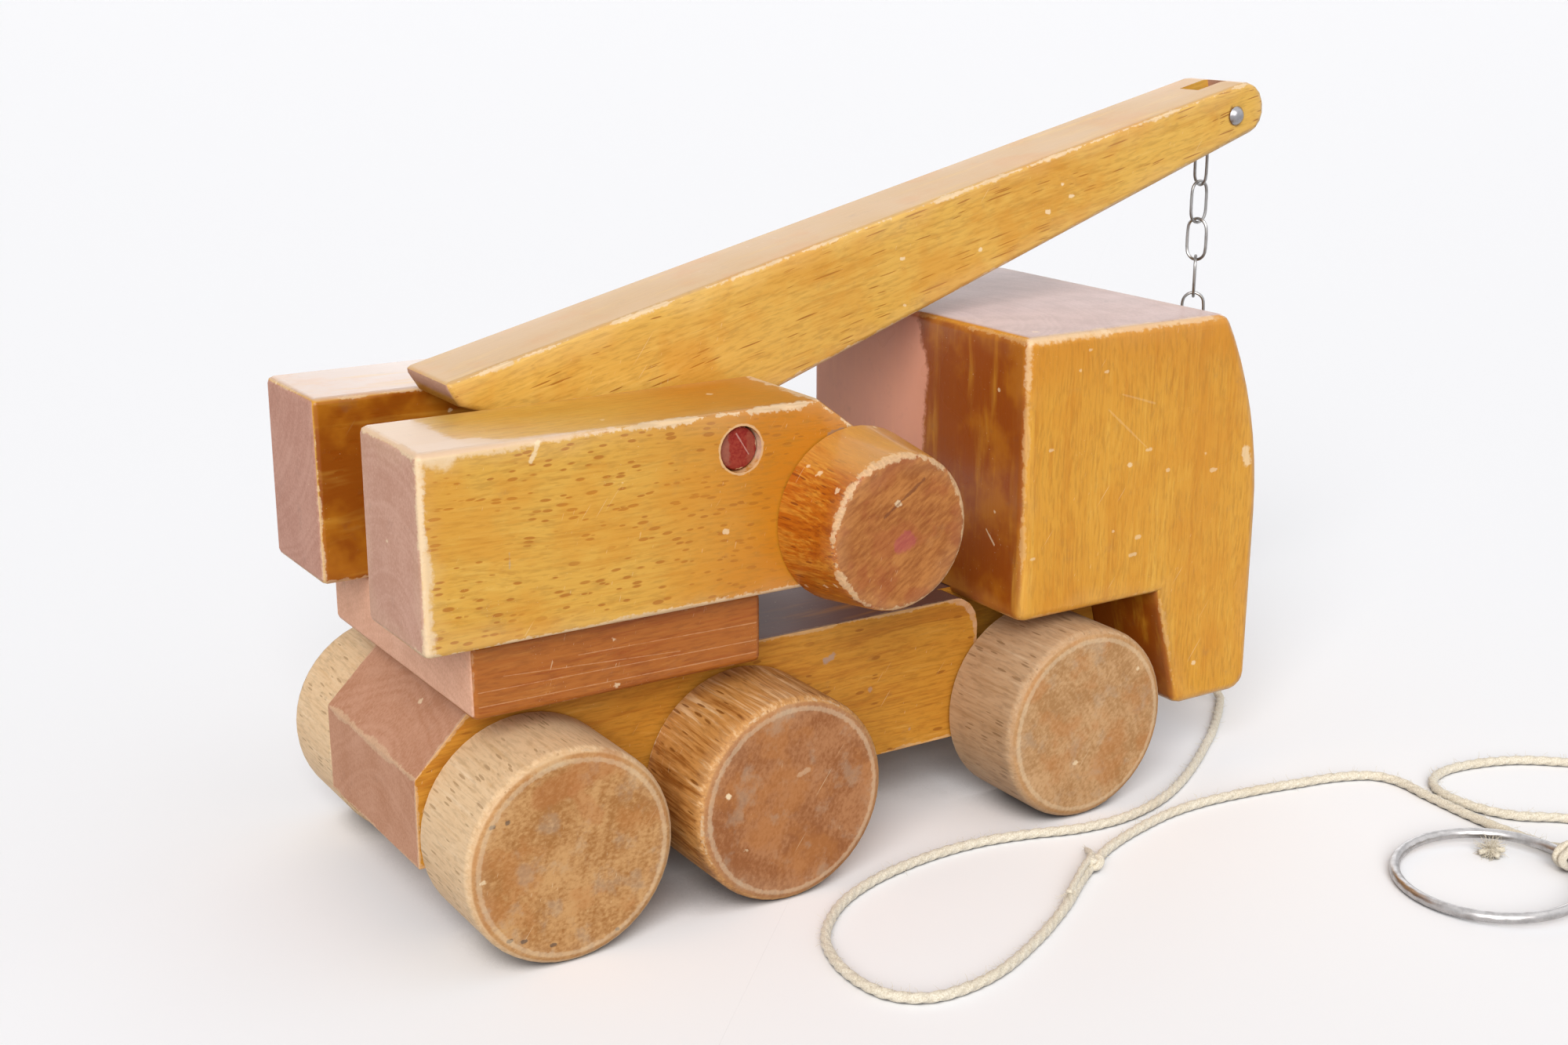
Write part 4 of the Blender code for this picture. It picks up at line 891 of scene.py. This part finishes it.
CORD_ROUTE = [
    (CAB_FRONT_MM - 9.0, -4, 33), (CAB_FRONT_MM, -4, 33), (214.5, -4, 31.7), (222.3, -4.2, 26),
    (228.3, -5, 16.5), (232, -7.2, 7),
] + [(x, y, CORD_Z) for x, y in CORD_ON_FLOOR]
TAIL_ON_FLOOR = [
    (241, -153), (251, -150), (256, -141), (253, -130.5), (245, -121.5), (236, -114), (231.8, -105),
    (231.6, -95), (236, -88), (245.5, -85.1), (257.6, -86.9), (268.2, -91.5), (277.1, -98.9), (285, -106),
]
TAIL_ROUTE = [(x, y, CORD_Z) for x, y in TAIL_ON_FLOOR]
RING_CENTRE_MM = Vector((200.8, -135.1, 2.75))
RING_TURN = Euler((0.0, -asin(2.5 / 44.0), radians(-14.0))).to_matrix()
RING_R_MM = 22.0
TIE_KNOT_R = 2.4
KNOT_GAP = 2.7
KNOT_SIZE_MM = 0.78
KNOT_D_MM = 2.0
FIBRE_STEPS = 6
FIBRE_D_MM = 0.16
FRAYED_STRANDS = 150
TIE_MM = RING_CENTRE_MM + RING_TURN @ Vector((RING_R_MM + 3.9 + TIE_KNOT_R * 0.8, 0.0, 0.0))
# The doubled turn of cord round the ring's wire, in the ring's own frame
TIE_TURNS = [
    (27.4, -0.9, 0.7), (25.2, -1.1, 2.2), (22.0, -1.3, 2.6), (19.4, -1.1, 0.0), (22.0, -0.6, -2.6),
    (24.6, 0.0, -1.6), (24.7, 0.3, 1.5), (22.0, 0.9, 2.6), (19.4, 1.2, 0.0), (22.0, 1.3, -2.6),
    (25.2, 1.1, -1.8), (27.4, 0.8, -0.6),
]


def run_along(points):
    """Length of the way from the first point to each."""
    return np.concatenate([[0.0], np.cumsum(np.linalg.norm(np.diff(points, axis=0), axis=1))])


def unit(vector):
    return vector / np.linalg.norm(vector)


def smooth_route(route, step):
    """Points about a step apart on a smooth curve through the route's points, none under the floor."""
    route = [Vector(place) for place in route]
    ends = [2 * route[0] - route[1]] + route + [2 * route[-1] - route[-2]]
    fine = []
    for index in range(1, len(ends) - 2):
        before, start, end, after = ends[index - 1:index + 3]
        for part_way in range(20):
            t = part_way / 20
            fine.append(0.5 * (2 * start + (end - before) * t
                               + (2 * before - 5 * start + 4 * end - after) * t * t
                               + (3 * start - before - 3 * end + after) * t * t * t))
    fine.append(route[-1])
    fine = np.array(fine)
    along = run_along(fine)
    spots = np.linspace(0.0, along[-1], int(np.ceil(along[-1] / step)) + 1)
    points = np.stack([np.interp(spots, along, fine[:, axis]) for axis in range(3)], axis=1)
    points[:, 2] = np.maximum(points[:, 2], CORD_Z)
    return points, along[-1]


def mesh_piece(name, verts, faces, material):
    mesh = bpy.data.meshes.new(name)
    mesh.from_pydata([tuple(place) for place in verts], [], faces)
    mesh.materials.append(material)
    mesh.shade_smooth()
    mesh.update()
    return new_object(name, mesh)


def frames_along(points):
    """Side and up vectors that turn as little as possible along a line of points."""
    tangents = np.gradient(points, axis=0)
    tangents /= np.linalg.norm(tangents, axis=1)[:, None]
    side = unit(np.cross(tangents[0], UP))
    sides, ups = [], []
    for tangent in tangents:
        side = unit(side - tangent * np.dot(side, tangent))
        sides.append(side)
        ups.append(np.cross(side, tangent))
    return np.array(sides), np.array(ups)


def swept(points, radius_at, sides):
    """Vertices and faces of a tube along points; radius_at takes the point's number and the angles round it."""
    across, up = frames_along(points)
    angles = np.arange(sides) * 2 * pi / sides
    verts = []
    for index, centre in enumerate(points):
        spokes = across[index] * np.cos(angles)[:, None] + up[index] * np.sin(angles)[:, None]
        verts.extend(centre + spokes * np.broadcast_to(radius_at(index, angles), sides)[:, None])
    faces = []
    for index in range(len(points) - 1):
        for turn in range(sides):
            near, far = index * sides + turn, index * sides + (turn + 1) % sides
            faces.append((near, far, far + sides, near + sides))
    faces.append(tuple(reversed(range(sides))))
    faces.append(tuple(range(len(verts) - sides, len(verts))))
    return verts, faces


def laid_tube(points_mm, diameter_mm=CORD_D_MM, plies=3, lay_mm=11.0, sides=24):
    """A laid cord: a tube whose section has a lobe for each ply and turns as it goes."""
    run = run_along(points_mm)

    def radius_at(index, angles):
        phase = plies * (angles - 2 * pi * run[index] / lay_mm) / 2
        lobe = np.sqrt(np.abs(np.cos(phase)))
        slub = 0.015 * np.sin(run[index] * 0.9) + 0.015 * np.sin(run[index] * 0.37 + 1.0)
        return 0.5 * diameter_mm * MM * (0.66 + 0.38 * lobe + slub)

    return swept(points_mm * MM, radius_at, sides)


def joined(tubes):
    verts, faces = [], []
    for more_verts, more_faces in tubes:
        offset = len(verts)
        verts.extend(more_verts)
        faces.extend(tuple(offset + corner for corner in face) for face in more_faces)
    return verts, faces


def overhand(centre_mm, along, size_mm, diameter_mm):
    """A tight knot: a trefoil about a middle point, with its axis along a direction."""
    turn = Vector(along).to_track_quat("X", "Z").to_matrix()
    points = []
    for angle in np.linspace(0.0, 2 * pi, 120):
        wide = 2.0 + cos(3 * angle)
        place = Vector((wide * cos(2 * angle) * 1.1, wide * sin(2 * angle) * 0.85, 1.15 * sin(3 * angle)))
        points.append(tuple(Vector(centre_mm) + turn @ (place * size_mm)))
    points = np.array(points)
    points[:, 2] = np.maximum(points[:, 2], 0.5 * diameter_mm)
    return laid_tube(points, diameter_mm, sides=16)


def fibres(places_mm, directions, length_mm, spread, thick_mm, random):
    """Fine loose strands that start at places and wander off about their directions."""
    tubes = []
    for place, direction in zip(places_mm, directions):
        point = np.array(place, dtype=float)
        heading = np.array(direction, dtype=float) + random.normal(0.0, spread, 3)
        points = [point]
        for _ in range(FIBRE_STEPS):
            heading = unit(heading) + random.normal(0.0, 0.28, 3)
            stretch = length_mm * random.uniform(0.6, 1.3) / FIBRE_STEPS
            point = point + unit(heading) * stretch
            point[2] = max(point[2], 0.15)
            points.append(point)
        radius = thick_mm * MM * random.uniform(0.35, 0.65)
        tubes.append(swept(np.array(points) * MM, lambda index, angles: radius * (1.0 - 0.12 * index), 4))
    return tubes


def to_row(points_mm):
    return np.asarray(points_mm, dtype=float) + np.array(TRUCK) * TO_MM


def away_from(start, end, distance):
    start = Vector(start)
    return start + (Vector(end) - start).normalized() * distance


def soft_piece(name, tubes, material, node=None):
    piece = mesh_piece(name, *joined(tubes), material)
    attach(piece, "truck")
    if node:
        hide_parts(node)
    return piece


def fuzz_along(points_mm, random):
    """Short loose fibres all along a cord."""
    places, directions = [], []
    for index in range(4, len(points_mm) - 4):
        spot = index + random.integers(-3, 4)
        run = points_mm[spot + 1] - points_mm[spot - 1]
        out = random.normal(0.0, 1.0, 3)
        out[2] = abs(out[2])
        out = unit(out - run * np.dot(out, run) / np.dot(run, run))
        places.append(points_mm[spot] + out * 0.9)
        directions.append(out + unit(run) * random.choice((-1.2, 1.2)))
    return fibres(places, directions, 2.4, 0.3, 0.11, random)


def make_lines(yarn, random):
    """The pull cord and its tail, each with its fuzz: a piece, its points and its length."""
    cord_end = away_from(TIE_MM, CORD_ROUTE[-1], KNOT_GAP)
    tail_start = away_from(TIE_MM, TAIL_ROUTE[0], KNOT_GAP)
    routes = {"pull_cord": CORD_ROUTE + [cord_end], "cord_tail": [tail_start] + TAIL_ROUTE}
    lines = {}
    for name, route in routes.items():
        points, length = smooth_route(route, CORD_STEP_MM)
        points = to_row(points)
        piece = soft_piece(name + "_yarn", [laid_tube(points)], yarn, name)
        soft_piece(name + "_fuzz", fuzz_along(points, random), yarn)
        lines[name] = (piece, points * MM, length * MM)
    return lines


def make_tie(yarn):
    turns, _ = smooth_route([RING_CENTRE_MM + RING_TURN @ Vector(place) for place in TIE_TURNS], FINE_STEP_MM)
    knot = overhand(to_row(TIE_MM), RING_TURN @ Vector(TO_LEFT), KNOT_SIZE_MM, KNOT_D_MM)
    soft_piece("ring_tie_yarn", [laid_tube(to_row(turns), 2.1, sides=16), knot], yarn, "ring_tie")


def make_tail_knot(yarn, random):
    end, before = Vector(TAIL_ROUTE[-1]), Vector(TAIL_ROUTE[-2])
    heading = (end - before).normalized()
    knot_at = to_row(end + heading * 2.9 + Vector((0.0, 0.0, 1.2)))
    knot = overhand(knot_at, heading, KNOT_SIZE_MM, KNOT_D_MM)
    ends = fibres([knot_at] * 26, [heading] * 26, 5.0, 0.35, FIBRE_D_MM, random)
    soft_piece("tail_knot_yarn", [knot] + ends, yarn, "tail_knot")


def make_join(yarn, random):
    """The knot in the loop, with a short and a long end."""
    knot_at, short_end = to_row((126.1, -79.0, 2.2)), to_row((129.7, -72.5, 1.6))
    short_way = [knot_at, 0.5 * (knot_at + short_end) + (0.0, 0.0, 0.6), short_end]
    long_way = to_row([(126.1, -78.4, 3.2), (121.5, -80.9, 3.3), (115.5, -85.1, 3.0), (109.5, -89.4, 2.6)])
    tubes = [overhand(knot_at, (0.75, 0.55, 0.0), 0.7, 1.9)]
    tubes += [laid_tube(smooth_route(way, FINE_STEP_MM)[0], 1.7, sides=12) for way in (long_way, short_way)]
    long_end = long_way[-1]
    tubes += fibres([long_end] * 22, [long_end - long_way[-2]] * 22, 4.0, 0.5, FIBRE_D_MM, random)
    tubes += fibres([short_end] * 16, [short_end - knot_at] * 16, 2.5, 0.4, FIBRE_D_MM, random)
    soft_piece("cord_join", tubes, yarn)


def make_tuft(yarn, random):
    """The frayed end beside the ring."""
    middle = to_row((214.0, -124.6, 1.6))
    offsets = ((3.4, 1.6, 0.4), (-3.2, 0.8, -0.4), (-1.2, -3.2, -0.4), (2.2, -2.4, 0.2))
    tubes = [laid_tube(smooth_route([middle, middle + offset], 0.4)[0], 1.3, sides=10) for offset in offsets]
    directions = [(cos(angle), sin(angle), 0.25) for angle in np.linspace(0.0, 2 * pi, FRAYED_STRANDS)]
    tubes += fibres([middle] * FRAYED_STRANDS, directions, 4.6, 0.7, 0.24, random)
    soft_piece("cord_tuft", tubes, yarn)


def make_cords():
    random = np.random.default_rng(7)
    yarn = cotton("cord_cotton", (0.84, 0.78, 0.65), (0.60, 0.52, 0.39))
    lines = make_lines(yarn, random)
    make_tie(yarn)
    make_tail_knot(yarn, random)
    make_join(yarn, random)
    make_tuft(yarn, random)
    return lines


def dress_metal():
    wire = steel("wire_steel", (0.34, 0.33, 0.32), 0.35, 0.36)
    paint(wire, *(name for name in NODES if name.startswith("chain_link")), "crane_hook")
    paint(steel("pin_steel", (0.34, 0.33, 0.34), 0.25, 0.34), "tip_pin")
    paint(steel("ring_steel", (0.48, 0.46, 0.45), 0.1, 0.33), "pull_ring")


make_camera()
make_floor()
make_lights()
dress_base()
dress_dowels()
dress_cheeks()
dress_boom()
dress_cab()
dress_wheels()
dress_knob()
dress_metal()
smooth_nodes()
cords = make_cords()

bpy.context.scene.view_settings.view_transform = "Standard"
